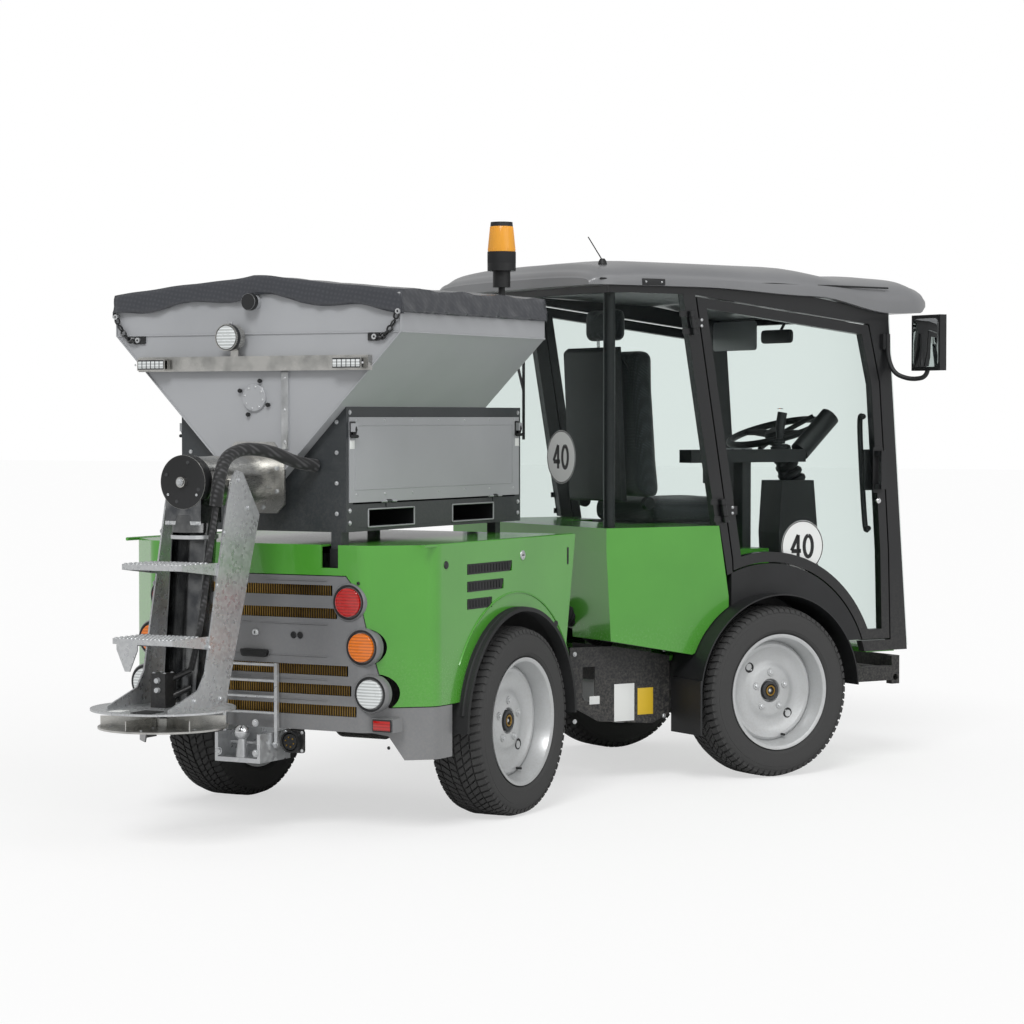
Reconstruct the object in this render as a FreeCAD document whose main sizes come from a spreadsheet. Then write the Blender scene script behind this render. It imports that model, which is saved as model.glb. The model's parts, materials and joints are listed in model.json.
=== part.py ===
"""Compact articulated implement carrier with a hopper spreader on its rear deck.

Two sections share a vertical pivot.  Every piece is modelled in the frame of its own section with
the machine straight: X forward, Y left, Z up, rear axle over X = 0, ground at Z = 0.  The placement
of each sub-part then turns the front section about the pivot and shifts everything to the origin,
which is the middle of the machine's footprint on the ground.  All sizes are in millimetres.
"""
import FreeCAD
import Part
import Sketcher
import math
import os

V = FreeCAD.Vector
doc = FreeCAD.newDocument("implement_carrier")

# ---------------------------------------------------------------------------------------------
# Driving dimensions: alias, value, meaning
# ---------------------------------------------------------------------------------------------
DIMENSIONS = [
    ("origin_x", -608.7, "shift of both sections to the footprint centre"),
    ("origin_y", 419.2, "sideways shift to the footprint centre"),
    ("steer_angle", -29.96, "turn of the front section about the pivot, degrees"),
    ("pivot_x", 893.0, "articulation pivot ahead of the rear axle"),
    ("front_axle_x", 1797.5, "front axle ahead of the rear axle, machine straight"),
    ("track_half", 540.0, "wheel centre plane from the middle"),
    ("tyre_radius", 325.0, "outer radius of a 205/60 R16 tyre"),
    ("tyre_width", 205.0, "section width of the tyre"),
    ("rim_radius", 203.0, "bead seat radius"),
    ("flange_radius", 220.0, "outer radius of the rim flange"),
    ("rim_wall", 6.0, "thickness of the rim barrel"),
    ("disc_plane", 565.0, "outer face of the wheel disc from the middle"),
    ("spindle_radius", 30.0, "wheel spindle"),
    ("fit_gap", 0.3, "clearance between seated pieces"),
    ("run_gap", 6.0, "clearance between pieces that move past each other"),
    ("axle_radius", 55.0, "axle tube"),
    ("axle_end", 420.0, "end of the axle tube from the middle"),
    ("rail_inner", 230.0, "inner face of a rear chassis rail"),
    ("rail_width", 50.0, "chassis rail width"),
    ("rail_low", 385.0, "underside of the chassis rails"),
    ("rail_high", 485.0, "top of the chassis rails"),
    ("rear_rail_start", -600.0, "rear end of the rear rails"),
    ("rear_rail_end", 800.0, "front end of the rear rails"),
    ("engine_length", 600.0, "engine block length"),
    ("engine_width", 420.0, "engine block width"),
    ("engine_low", 430.0, "underside of the engine block"),
    ("engine_high", 900.0, "top of the engine block"),
    ("pin_radius", 30.0, "articulation pin"),
    ("pivot_boss", 62.0, "radius of the front pivot boss"),
    ("yoke_low", 330.0, "underside of the lower yoke plate"),
    ("yoke_high", 495.0, "top of the upper yoke plate"),
    ("yoke_plate", 25.0, "thickness of a yoke plate"),
    ("body_rear", -690.0, "rear face of the rear body"),
    ("body_front", 448.0, "front edge of the hood at its top"),
    ("body_half", 600.0, "side plane of the rear body"),
    ("corner_y", 420.0, "start of the rounded rear corner across the machine"),
    ("corner_x", -530.0, "end of the rounded rear corner along the machine"),
    ("hood_top", 950.0, "top of the hood"),
    ("skirt_low", 424.0, "lower edge of the hood skirt"),
    ("bumper_low", 250.0, "lowest point of the rear panel"),
    ("panel_top", 848.0, "top edge of the grey rear panel"),
    ("body_wall", 6.0, "thickness of the body mouldings"),
    ("seam", 3.0, "gap between body mouldings"),
    ("arch_radius", 392.0, "rear wheel arch"),
    ("deck_low", 990.0, "underside of the spreader base"),
    ("deck_high", 1400.0, "top of the spreader base"),
    ("deck_rear", -646.0, "rear of the spreader base"),
    ("deck_front", 540.0, "front of the spreader base"),
    ("deck_half", 327.0, "half width of the spreader base"),
    ("deck_tube", 40.0, "base frame tube"),
    ("deck_split", 1066.0, "joint between the fork frame and the upper frame"),
    ("cover_low", 1086.0, "lower edge and hinge line of a side cover"),
    ("cover_thickness", 4.0, "side cover sheet with its backing"),
    ("fork_low", 1003.0, "underside of the fork pockets"),
    ("fork_high", 1062.0, "top of the fork pockets"),
    ("pocket_wall", 4.0, "wall of a fork pocket sleeve"),
    ("hopper_rear", -690.0, "rear face of the hopper"),
    ("hopper_front", 550.0, "front face of the hopper"),
    ("hopper_half", 563.0, "half width of the hopper at its rim"),
    ("hopper_nose_half", 318.0, "half width of the hopper front face"),
    ("hopper_cut_x", 285.0, "start of the slanting front corners"),
    ("hopper_rim", 1770.0, "rim height at the sides"),
    ("hopper_ridge", 1825.0, "gable height in the middle"),
    ("hopper_bend", 1640.0, "bend between upright flange and slope"),
    ("hopper_wall", 3.0, "hopper sheet"),
    ("auger_z", 1160.0, "height of the auger centre line"),
    ("auger_radius", 80.0, "outer radius of the auger tube"),
    ("auger_end", -1100.0, "rear end of the auger tube"),
    ("trough_radius", 88.0, "radius of the hopper's trough"),
    ("trough_front", 400.0, "front end of the trough"),
    ("tarp_thickness", 5.0, "cover sheet, as a soft solid"),
    ("stringer_inner", 115.0, "inner face of a stringer"),
    ("stringer_sheet", 6.0, "stringer plate"),
    ("disc_x", -1210.0, "spinner axis"),
    ("guard_radius", 227.0, "disc guard plate"),
    ("guard_top", 454.0, "top of the guard plate"),
    ("spinner_radius", 205.0, "spinner disc"),
    ("spinner_low", 392.0, "underside of the spinner disc"),
    ("blade_height", 36.0, "height of the spinner blades"),
    ("step_hinge_x", -720.0, "hinge line of the fold-up step"),
    ("step_hinge_z", 290.0, "hinge height of the fold-up step"),
    ("step_half", 107.0, "half width of the fold-up step"),
    ("step_top", 558.0, "top of the folded step"),
    ("step_bar", 6.0, "radius of the step bars"),
    ("cab_half", 560.0, "side plane of the cab"),
    ("cab_sheet", 35.0, "thickness of the cab side frame and door"),
    ("floor_sheet", 18.0, "thickness of the cab floor"),
    ("sill_z", 958.0, "top of the cab's rear sill"),
    ("cab_rear", 1050.0, "rear window plane"),
    ("fender_radius", 372.0, "outer radius of the front mudguard"),
    ("fender_wall", 5.0, "mudguard thickness"),
    ("door_arch", 490.0, "radius of the door's cut-out round the wheel"),
    ("door_gap", 6.0, "gap round the door"),
    ("door_border", 38.0, "width of the door frame"),
    ("glass", 6.0, "glass thickness"),
    ("roof_half", 585.0, "half width of the roof"),
    ("roof_rear", 985.0, "rear end of the roof"),
    ("roof_front", 2590.0, "front end of the roof"),
    ("screen_low", 470.0, "lower edge of the windscreen"),
    ("screen_high", 1770.0, "upper edge of the windscreen"),
    ("screen_bow", 120.0, "bow of the windscreen across its width"),
    ("seat_low", 940.0, "top of the box that the seat stands on"),
    ("seat_half", 235.0, "half width of the seat"),
    ("front_rail_inner", 200.0, "inner face of a front chassis rail"),
    ("front_rail_start", 1120.0, "rear end of the front rails"),
    ("front_rail_high", 445.0, "top of the front chassis rails"),
    ("front_rail_end", 2380.0, "front end of the front rails"),
    ("cylinder_rear_x", 480.0, "rear pin of the steering cylinder"),
    ("cylinder_side", 195.0, "rear pin from the middle"),
    ("cylinder_z", 530.0, "height of the steering cylinder"),
    ("rod_pin_x", 150.0, "rod pin ahead of the pivot"),
    ("rod_pin_y", 180.0, "rod pin from the middle"),
    ("lift_pin_x", 2340.0, "pin of the front lift arms"),
    ("lift_pin_z", 400.0, "height of the lift arm pin"),
]


class Dim:
    """A number together with the sheet expression that it comes from."""

    def __init__(self, value, text):
        self.value = float(value)
        self.text = text

    def _join(self, other, sign, result, swap=False):
        first, second = (text_of(other), self.text) if swap else (self.text, text_of(other))
        return Dim(result, "(%s %s %s)" % (first, sign, second))

    def __add__(self, other):
        return self._join(other, "+", self.value + number(other))

    __radd__ = __add__

    def __sub__(self, other):
        return self._join(other, "-", self.value - number(other))

    def __rsub__(self, other):
        return self._join(other, "-", number(other) - self.value, swap=True)

    def __mul__(self, other):
        return self._join(other, "*", self.value * number(other))

    __rmul__ = __mul__

    def __truediv__(self, other):
        return self._join(other, "/", self.value / number(other))

    def __rtruediv__(self, other):
        return self._join(other, "/", number(other) / self.value, swap=True)

    def __neg__(self):
        return Dim(-self.value, "(0 - %s)" % self.text)


def number(value):
    """The plain number of a Dim or of a number."""
    return value.value if isinstance(value, Dim) else float(value)


def text_of(value):
    """The expression text of a Dim or of a number."""
    if isinstance(value, Dim):
        return value.text
    return "(%r)" % float(value) if value < 0 else repr(float(value))


class Sheet:
    """The driving dimensions, read by name."""

    def __init__(self):
        self.cells = doc.addObject("Spreadsheet::Sheet", "params")
        for row, (alias, value, meaning) in enumerate(DIMENSIONS, start=1):
            self.cells.set("A%d" % row, alias)
            self.cells.set("B%d" % row, repr(value))
            self.cells.set("C%d" % row, meaning)
            self.cells.setAlias("B%d" % row, alias)
        doc.recompute()

    def __getattr__(self, alias):
        return Dim(getattr(self.cells, alias), "params." + alias)


P = Sheet()
SUB_PARTS = []
FRONT = "front"
REAR = "rear"


def bind(obj, prop, value):
    """Bind a property to its expression."""
    if isinstance(value, Dim):
        obj.setExpression(prop, value.text)


def bind_point(obj, point, prefix="Placement.Base."):
    """Bind the three coordinates of a placement."""
    for axis, value in zip("xyz", point):
        bind(obj, prefix + axis, value)


def vector(point):
    """A FreeCAD vector from numbers or Dims."""
    return V(*[number(value) for value in point])


# ---------------------------------------------------------------------------------------------
# Building blocks
# ---------------------------------------------------------------------------------------------
def box(x_range, y_range, z_range):
    """A Part::Box between two corners."""
    obj = doc.addObject("Part::Box", "box")
    low = [pair[0] for pair in (x_range, y_range, z_range)]
    for prop, pair in zip(("Length", "Width", "Height"), (x_range, y_range, z_range)):
        size = pair[1] - pair[0]
        setattr(obj, prop, number(size))
        bind(obj, prop, size)
    obj.Placement = FreeCAD.Placement(vector(low), FreeCAD.Rotation())
    bind_point(obj, low)
    return obj


TURNS = {
    "x": FreeCAD.Rotation(V(0, 1, 0), 90),
    "y": FreeCAD.Rotation(V(1, 0, 0), -90),
    "z": FreeCAD.Rotation(),
}


def rod(axis, start, radius, length):
    """A Part::Cylinder along +X, +Y or +Z from a start point."""
    obj = doc.addObject("Part::Cylinder", "rod")
    obj.Radius = number(radius)
    obj.Height = number(length)
    obj.Placement = FreeCAD.Placement(vector(start), TURNS[axis])
    bind(obj, "Radius", radius)
    bind(obj, "Height", length)
    bind_point(obj, start)
    return obj


def ball(centre, radius):
    """A Part::Sphere."""
    obj = doc.addObject("Part::Sphere", "ball")
    obj.Radius = number(radius)
    obj.Placement = FreeCAD.Placement(vector(centre), FreeCAD.Rotation())
    bind(obj, "Radius", radius)
    bind_point(obj, centre)
    return obj


def cone(axis, start, radius_start, radius_end, length):
    """A Part::Cone along +X, +Y or +Z."""
    obj = doc.addObject("Part::Cone", "cone")
    for prop, value in (("Radius1", radius_start), ("Radius2", radius_end), ("Height", length)):
        setattr(obj, prop, number(value))
        bind(obj, prop, value)
    obj.Placement = FreeCAD.Placement(vector(start), TURNS[axis])
    bind_point(obj, start)
    return obj


def outline_sketch(owner, plane, points, offset):
    """A closed polygon sketch on an origin plane, every corner bound to the sheet."""
    sketch = owner.newObject("Sketcher::SketchObject", "outline")
    roles = {"XY": "XY_Plane", "XZ": "XZ_Plane", "YZ": "YZ_Plane"}
    plane_feature = [f for f in owner.Origin.OriginFeatures if f.Role == roles[plane]][0]
    sketch.AttachmentSupport = (plane_feature, "")
    sketch.MapMode = "FlatFace"
    sketch.AttachmentOffset = FreeCAD.Placement(V(0, 0, number(offset)), FreeCAD.Rotation())
    bind(sketch, "AttachmentOffset.Base.z", offset)
    draw_outline(sketch, points)
    return sketch


def draw_outline(sketch, points):
    """Draw a closed polygon and bind its corners."""
    count = len(points)
    flat = [V(number(a), number(b), 0) for a, b in points]
    for index in range(count):
        sketch.addGeometry(Part.LineSegment(flat[index], flat[(index + 1) % count]), False)
    for index in range(count):
        sketch.addConstraint(Sketcher.Constraint("Coincident", index, 2, (index + 1) % count, 1))
    for index, (a, b) in enumerate(points):
        for kind, value in (("DistanceX", a), ("DistanceY", b)):
            row = sketch.addConstraint(Sketcher.Constraint(kind, -1, 1, index, 1, number(value)))
            if isinstance(value, Dim):
                sketch.setExpression("Constraints[%d]" % row, value.text)


def prism(plane, points, start, end):
    """A PartDesign body: an outline on a main plane, padded from start to end along its normal axis.

    The outline's coordinates are (X, Y), (X, Z) or (Y, Z); start and end lie on the remaining axis.
    """
    body = doc.addObject("PartDesign::Body", "prism")
    offset = -end if plane == "XZ" else start
    sketch = outline_sketch(body, plane, points, offset)
    pad = body.newObject("PartDesign::Pad", "pad")
    pad.Profile = sketch
    size = end - start
    pad.Length = number(size)
    bind(pad, "Length", size)
    return body


def turned(points, centre):
    """A PartDesign body: an outline in (Y, radius) turned about a Y axis through centre (x, z)."""
    body = doc.addObject("PartDesign::Body", "turned")
    sketch = outline_sketch(body, "YZ", points, 0.0)
    turn = body.newObject("PartDesign::Revolution", "turn")
    turn.Profile = sketch
    turn.ReferenceAxis = (sketch, ["H_Axis"])
    turn.Angle = 360.0
    body.Placement = FreeCAD.Placement(V(number(centre[0]), 0, number(centre[1])), FreeCAD.Rotation())
    bind(body, "Placement.Base.x", centre[0])
    bind(body, "Placement.Base.z", centre[1])
    return body


def grown_prism(points, y_start, y_end, growth):
    """An (X, Z) outline grown or shrunk by an offset and extruded between two Y planes."""
    sketch = doc.addObject("Sketcher::SketchObject", "outline")
    sketch.Placement = FreeCAD.Placement(V(0, number(y_start), 0), FreeCAD.Rotation(V(1, 0, 0), 90))
    bind(sketch, "Placement.Base.y", y_start)
    draw_outline(sketch, points)
    offset = doc.addObject("Part::Offset2D", "grown")
    offset.Source = sketch
    offset.Join = 2
    offset.Value = number(growth)
    bind(offset, "Value", growth)
    solid = doc.addObject("Part::Extrusion", "slab")
    solid.Base = offset
    solid.DirMode = "Custom"
    solid.Dir = V(0, 1, 0)
    solid.Solid = True
    size = y_end - y_start
    solid.LengthFwd = number(size)
    bind(solid, "LengthFwd", size)
    return solid


def loft(low, low_z, high, high_z):
    """A ruled loft between two (X, Y) outlines with as many corners."""
    obj = doc.addObject("Part::Loft", "loft")
    sections = []
    for points, level in ((low, low_z), (high, high_z)):
        sketch = doc.addObject("Sketcher::SketchObject", "outline")
        sketch.Placement = FreeCAD.Placement(V(0, 0, number(level)), FreeCAD.Rotation())
        bind(sketch, "Placement.Base.z", level)
        draw_outline(sketch, points)
        sections.append(sketch)
    obj.Sections = sections
    obj.Solid = True
    obj.Ruled = True
    return obj


def fuse(*pieces):
    """A union; pieces that don't touch stay separate solids."""
    if len(pieces) == 1:
        return pieces[0]
    obj = doc.addObject("Part::MultiFuse", "union")
    obj.Shapes = list(pieces)
    obj.Refine = True
    return obj


def group(*pieces):
    """A compound of separate solids."""
    obj = doc.addObject("Part::Compound", "group")
    obj.Links = list(pieces)
    return obj


def cut(base, *tools):
    """A base less its tools."""
    obj = doc.addObject("Part::Cut", "cut")
    obj.Base = base
    obj.Tool = fuse(*tools)
    obj.Refine = True
    return obj


def common(*pieces):
    """What all the pieces share."""
    obj = doc.addObject("Part::MultiCommon", "common")
    obj.Shapes = list(pieces)
    return obj


def mirrored(source):
    """The mirror image across the machine's middle plane."""
    obj = doc.addObject("Part::Mirroring", "mirrored")
    obj.Source = source
    obj.Normal = V(0, 1, 0)
    return obj


def both(source):
    """A piece and its mirror image."""
    return [source, mirrored(source)]


def free_shape(name, shape):
    """A Part::Feature for a shape that no single feature makes."""
    obj = doc.addObject("Part::Feature", name)
    obj.Shape = shape
    return obj


def sub_part(label, obj, section):
    """Name a finished sub-part and place it in the machine's frame."""
    if obj.TypeId in ("Part::Mirroring", "Part::Box", "Part::Cylinder"):
        obj = group(obj)
    obj.Label = label
    angle = P.steer_angle if section == FRONT else Dim(0.0, "0")
    turn = math.radians(angle.value)
    base_x = P.origin_x
    base_y = P.origin_y
    if section == FRONT:
        cosine = Dim(math.cos(turn), "cos(params.steer_angle)")
        sine = Dim(math.sin(turn), "sin(params.steer_angle)")
        base_x = P.origin_x + P.pivot_x - P.pivot_x * cosine
        base_y = P.origin_y - P.pivot_x * sine
    own = obj.Placement.Base
    is_free = obj.TypeId == "Part::Feature"
    moved = section_point(own.x, own.y, own.z, section)
    rotation = FreeCAD.Rotation(V(0, 0, 1), angle.value)
    obj.Placement = FreeCAD.Placement(moved, rotation)
    if is_free or own.Length < 1e-9:
        bind(obj, "Placement.Base.x", base_x)
        bind(obj, "Placement.Base.y", base_y)
    if section == FRONT:
        bind(obj, "Placement.Rotation.Angle", angle)
    SUB_PARTS.append(obj)
    return obj


def section_point(x, y, z, section):
    """A point of a straight section, in the machine's frame."""
    x, y, z = number(x), number(y), number(z)
    if section == FRONT:
        turn = math.radians(P.steer_angle.value)
        pivot = P.pivot_x.value
        along, across = x - pivot, y
        x = pivot + along * math.cos(turn) - across * math.sin(turn)
        y = along * math.sin(turn) + across * math.cos(turn)
    return V(x + P.origin_x.value, y + P.origin_y.value, z)


def sides(inner, outer):
    """Y ranges of a piece on the left and on the right."""
    return [(inner, outer), (-outer, -inner)]


def pair_of_boxes(x_range, inner, outer, z_range):
    """The same box on both sides of the middle."""
    return [box(x_range, y_range, z_range) for y_range in sides(inner, outer)]


def rounded_path(points, radius_share=0.45):
    """Straight runs joined by tangent arcs, and the arcs' radii."""
    corners = [V(*point) for point in points]
    edges = []
    radii = []
    cursor = corners[0]
    for index in range(1, len(corners) - 1):
        before = corners[index - 1] - corners[index]
        after = corners[index + 1] - corners[index]
        shorter = min(before.Length, after.Length)
        turn = math.pi - before.getAngle(after)
        radius = radius_share * shorter / math.tan(turn / 2)
        radii.append(radius)
        reach = radius_share * shorter
        before.normalize()
        after.normalize()
        start = corners[index] + before * reach
        finish = corners[index] + after * reach
        bisector = before + after
        bisector.normalize()
        centre_distance = radius / math.cos(turn / 2)
        middle = corners[index] + bisector * (centre_distance - radius)
        edges.append(Part.LineSegment(cursor, start).toShape())
        edges.append(Part.Arc(start, middle, finish).toShape())
        cursor = finish
    edges.append(Part.LineSegment(cursor, corners[-1]).toShape())
    return Part.Wire(edges), radii


def tube_along(points, radius, name):
    """A round solid cord along a rounded path."""
    path, radii = rounded_path(points)
    start = V(*points[0])
    direction = V(*points[1]) - start
    circle = Part.Wire([Part.Circle(start, direction, radius).toShape()])
    solid = path.makePipeShell([circle], True, True)
    expected = math.pi * radius ** 2 * path.Length
    print("%s: length %.0f mm, radii %s, volume ratio %.4f"
          % (name, path.Length, [round(r) for r in radii], solid.Volume / expected))
    return solid


def round_upright(body, radius, x_limit):
    """Fillet a padded body's upright edges behind x_limit."""
    names = []
    for index, edge in enumerate(body.Shape.Edges, start=1):
        middle = edge.CenterOfMass
        upright = abs(edge.tangentAt(edge.FirstParameter).z) > 0.999
        if upright and middle.x < number(x_limit):
            names.append("Edge%d" % index)
    solid = body.Tip
    fillet = body.newObject("PartDesign::Fillet", "rounding")
    fillet.Base = (solid, names)
    fillet.Radius = number(radius)
    bind(fillet, "Radius", radius)
    body.Tip = fillet
    return body


def rod_between(start, finish, radius):
    """A Part::Cylinder between two points of the XZ plane's direction set by their coordinates."""
    direction = vector(finish) - vector(start)
    obj = doc.addObject("Part::Cylinder", "rod")
    obj.Radius = number(radius)
    obj.Height = direction.Length
    obj.Placement = FreeCAD.Placement(vector(start), FreeCAD.Rotation(V(0, 0, 1), direction))
    bind(obj, "Radius", radius)
    bind_point(obj, start)
    return obj


# ---------------------------------------------------------------------------------------------
# Rear section: chassis and body
# ---------------------------------------------------------------------------------------------
def rear_chassis():
    """Rails, engine beams, bulkhead, posts for the spreader and the yoke with its pin."""
    outer = P.rail_inner + P.rail_width
    rail_z = (P.rail_low, P.rail_high)
    pieces = pair_of_boxes((P.rear_rail_start, P.rear_rail_end), P.rail_inner, outer, rail_z)
    pieces.append(box((P.rear_rail_end - 20.0, P.rear_rail_end), (-outer, outer), rail_z))
    pieces.append(box((P.rear_rail_start - 20.0, P.rear_rail_start), (-outer, outer),
                      (P.rail_low - 20.0, P.rail_high)))
    for beam_x in (-200.0, 140.0):
        pieces.append(box((beam_x, beam_x + 60.0), (-P.rail_inner, P.rail_inner),
                          (P.rail_low, P.engine_low - P.fit_gap)))
    post_top = P.deck_low - 55.0
    pieces += pair_of_boxes((P.deck_rear - 4.0, P.rear_rail_start), P.rail_inner + 35.0, outer + 30.0,
                            (P.rail_low, post_top))
    pieces += pair_of_boxes((450.0, 490.0), P.rail_inner, outer, (P.rail_high, post_top))
    pieces.append(box((425.0, 431.0), (-540.0, 540.0), (P.rail_high, P.hood_top - 25.0)))
    shoulder = P.body_half - P.body_wall - P.fit_gap
    pieces.append(box((425.0, 431.0), (-shoulder, shoulder), (870.0, P.hood_top - P.body_wall - P.fit_gap)))
    pieces += pair_of_boxes((P.body_rear + P.body_wall + P.fit_gap, P.deck_rear - 4.0), P.rail_inner + 35.0,
                            outer + 30.0, (600.0, 680.0))
    pin_top = P.yoke_high + 8.0
    for low in (P.yoke_low, P.yoke_high - P.yoke_plate):
        plate_z = (low, low + P.yoke_plate)
        pieces.append(box((P.rear_rail_end - 20.0, P.pivot_x), (-70.0, 70.0), plate_z))
        pieces.append(rod("z", (P.pivot_x, 0.0, low), 70.0, P.yoke_plate))
    pieces.append(box((P.rear_rail_end - 20.0, P.rear_rail_end), (-70.0, 70.0),
                      (P.yoke_low, P.yoke_high)))
    pieces.append(rod("z", (P.pivot_x, 0.0, P.yoke_low - 8.0), P.pin_radius,
                      pin_top - P.yoke_low + 8.0))
    bracket_x = (P.cylinder_rear_x - 25.0, P.cylinder_rear_x + 25.0)
    bracket_y = (-outer, -P.cylinder_side + 25.0)
    pieces.append(box(bracket_x, bracket_y, (P.rail_high, P.cylinder_z - 34.0)))
    pieces.append(rod("z", (P.cylinder_rear_x, -P.cylinder_side, P.rail_high), 10.0,
                      P.cylinder_z + 30.0 - P.rail_high))
    return fuse(*pieces)


def axle(centre_x, rail_inner):
    """A tube axle with its differential, saddles, end flanges and wheel spindles."""
    height = P.tyre_radius
    pieces = [rod("y", (centre_x, -P.axle_end, height), P.axle_radius, P.axle_end * 2)]
    pieces.append(rod("y", (centre_x, -85.0, height), 92.0, 170.0))
    saddle_y = (rail_inner, rail_inner + P.rail_width)
    pieces += pair_of_boxes((centre_x - 70.0, centre_x + 70.0), saddle_y[0], saddle_y[1],
                            (height - 30.0, P.rail_low))
    flange = 15.0
    for side_y in (P.axle_end - flange, -P.axle_end):
        pieces.append(rod("y", (centre_x, side_y, height), 80.0, flange))
    reach = P.disc_plane + 4.0
    pieces.append(rod("y", (centre_x, -reach, height), P.spindle_radius, reach * 2))
    return fuse(*pieces)


def tyre(centre_x):
    """A left tyre as one ring."""
    middle = P.track_half
    half = P.tyre_width / 2
    bead = P.rim_radius + P.fit_gap
    seat = half - 14.8
    one_side = [(seat, bead), (seat, P.flange_radius + 1.0), (half - 3.0, 235.0), (half, 262.0),
                (half - 3.0, 290.0), (half - 17.0, P.tyre_radius - 11.0),
                (half - 42.0, P.tyre_radius - 2.0)]
    points = [(middle - across, radius) for across, radius in one_side]
    points.append((middle, P.tyre_radius))
    points += [(middle + across, radius) for across, radius in reversed(one_side)]
    return turned(points, (centre_x, P.tyre_radius))


def rim(centre_x):
    """A left steel wheel: barrel with flanges, disc, hub sleeve and cap."""
    middle = P.track_half
    half = P.tyre_width / 2 - 6.5
    inner = P.rim_radius - P.rim_wall
    lip = 8.0
    bore = P.spindle_radius + P.fit_gap
    sleeve = 62.0
    disc = P.disc_plane
    cap = disc + 10.0
    points = [(middle - half, inner), (middle - half, P.flange_radius),
              (middle - half + lip, P.flange_radius), (middle - half + lip, P.rim_radius),
              (middle + half - lip, P.rim_radius), (middle + half - lip, P.flange_radius),
              (middle + half, P.flange_radius), (middle + half, inner),
              (disc, inner), (disc, sleeve), (cap, sleeve), (cap, 40.0), (cap + 6.0, 40.0),
              (cap + 6.0, 0.0), (cap, 0.0), (cap, bore), (P.axle_end + P.run_gap, bore),
              (P.axle_end + P.run_gap, sleeve), (disc - 8.0, sleeve), (disc - 8.0, inner)]
    return turned(points, (centre_x, P.tyre_radius))


def engine_block():
    """The engine as one plain block."""
    half = P.engine_width / 2
    return group(box((-P.engine_length / 2, P.engine_length / 2), (-half, half),
                     (P.engine_low, P.engine_high)))


def body_plan(inset):
    """Plan outline of the rear mouldings, inset by a wall."""
    rear = P.body_rear + inset
    corner_y = P.corner_y - 0.4 * inset
    corner_x = P.corner_x + 0.4 * inset
    half = P.body_half - inset
    front = P.body_front + 12.0
    return [(rear, -corner_y), (corner_x, -half), (front, -half), (front, half), (corner_x, half),
            (rear, corner_y)]


def body_ring(low, high):
    """The rounded wall of the rear mouldings between two heights."""
    outer = prism("XY", body_plan(0.0), low, high)
    doc.recompute()
    return round_upright(outer, 70.0, P.corner_x + 100.0)


def body_hollow(low, high):
    """The room inside the rear mouldings, open at the front."""
    plan = body_plan(P.body_wall)
    plan = [(x + (60.0 if number(x) > 0 else 0.0), y) for x, y in plan]
    inner = prism("XY", plan, low, high)
    doc.recompute()
    return round_upright(inner, 70.0 - P.body_wall, P.corner_x + 100.0)


def panel_region(grow):
    """What the grey rear panel covers, seen from behind."""
    top = P.panel_top + grow
    low = P.skirt_low - 3.0 + grow
    wide = P.body_half + 40.0
    points = [(-wide, 180.0), (-wide, low), (-478.0 - grow, low), (-400.0 - grow, top - 60.0),
              (-350.0 - grow, top), (350.0 + grow, top), (400.0 + grow, top - 60.0),
              (478.0 + grow, low), (wide, low), (wide, 180.0)]
    return prism("YZ", points, P.body_rear - 60.0, -400.0)


def rear_body_shell():
    """The green hood and fenders, one moulding open below and in front."""
    top = P.hood_top
    outer = body_ring(P.skirt_low, top)
    inner = body_hollow(P.skirt_low - 50.0, top - P.body_wall)
    shell = cut(outer, inner)
    wide = P.body_half + 60.0
    arch = rod("y", (0.0, -wide, P.tyre_radius), P.arch_radius, wide * 2)
    front = prism("XZ", [(P.body_front, top + 10.0), (P.body_front, top - 10.0), (352.0, P.skirt_low - 10.0),
                         (800.0, P.skirt_low - 10.0), (800.0, top + 10.0)], -wide, wide)
    notch_z = (top - 75.0, top + 10.0)
    notches = pair_of_boxes((P.body_rear - 10.0, P.deck_rear + 70.0), P.rail_inner + 28.0,
                            P.rail_inner + 92.0, notch_z)
    notches += pair_of_boxes((430.0, 500.0), P.rail_inner - 8.0, P.rail_inner + 58.0, notch_z)
    vents = [box((x_start, x_end), (-wide, -P.body_half + 10.0), z_range)
             for x_start, x_end, z_range in ((-330.0, -20.0, (843.0, 878.0)), (-330.0, -80.0, (785.0, 820.0)),
                                             (-330.0, -160.0, (727.0, 762.0)))]
    vents += [box((x_start, x_end), (P.body_half - 10.0, wide), z_range)
              for x_start, x_end, z_range in ((-330.0, -20.0, (843.0, 878.0)), (-330.0, -80.0, (785.0, 820.0)),
                                              (-330.0, -160.0, (727.0, 762.0)))]
    return cut(shell, arch, front, panel_region(P.seam), *(notches + vents + lamp_drums(P.seam, 120.0)))


LAMPS = [(364.0, 765.0), (414.0, 620.0), (446.0, 470.0)]
HOUSING_RADIUS = 60.0
SLOTS = [(300.0, 801.0), (318.0, 726.0), (360.0, 540.0), (372.0, 476.0), (392.0, 409.0)]


def lamp_drums(grow, depth):
    """A drum round each round lamp, as its housing or as room for it."""
    return [rod("x", (P.body_rear - 2.0 - grow, side_y, z), HOUSING_RADIUS + grow, depth)
            for y, z in LAMPS for side_y in (y, -y)]


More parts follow.
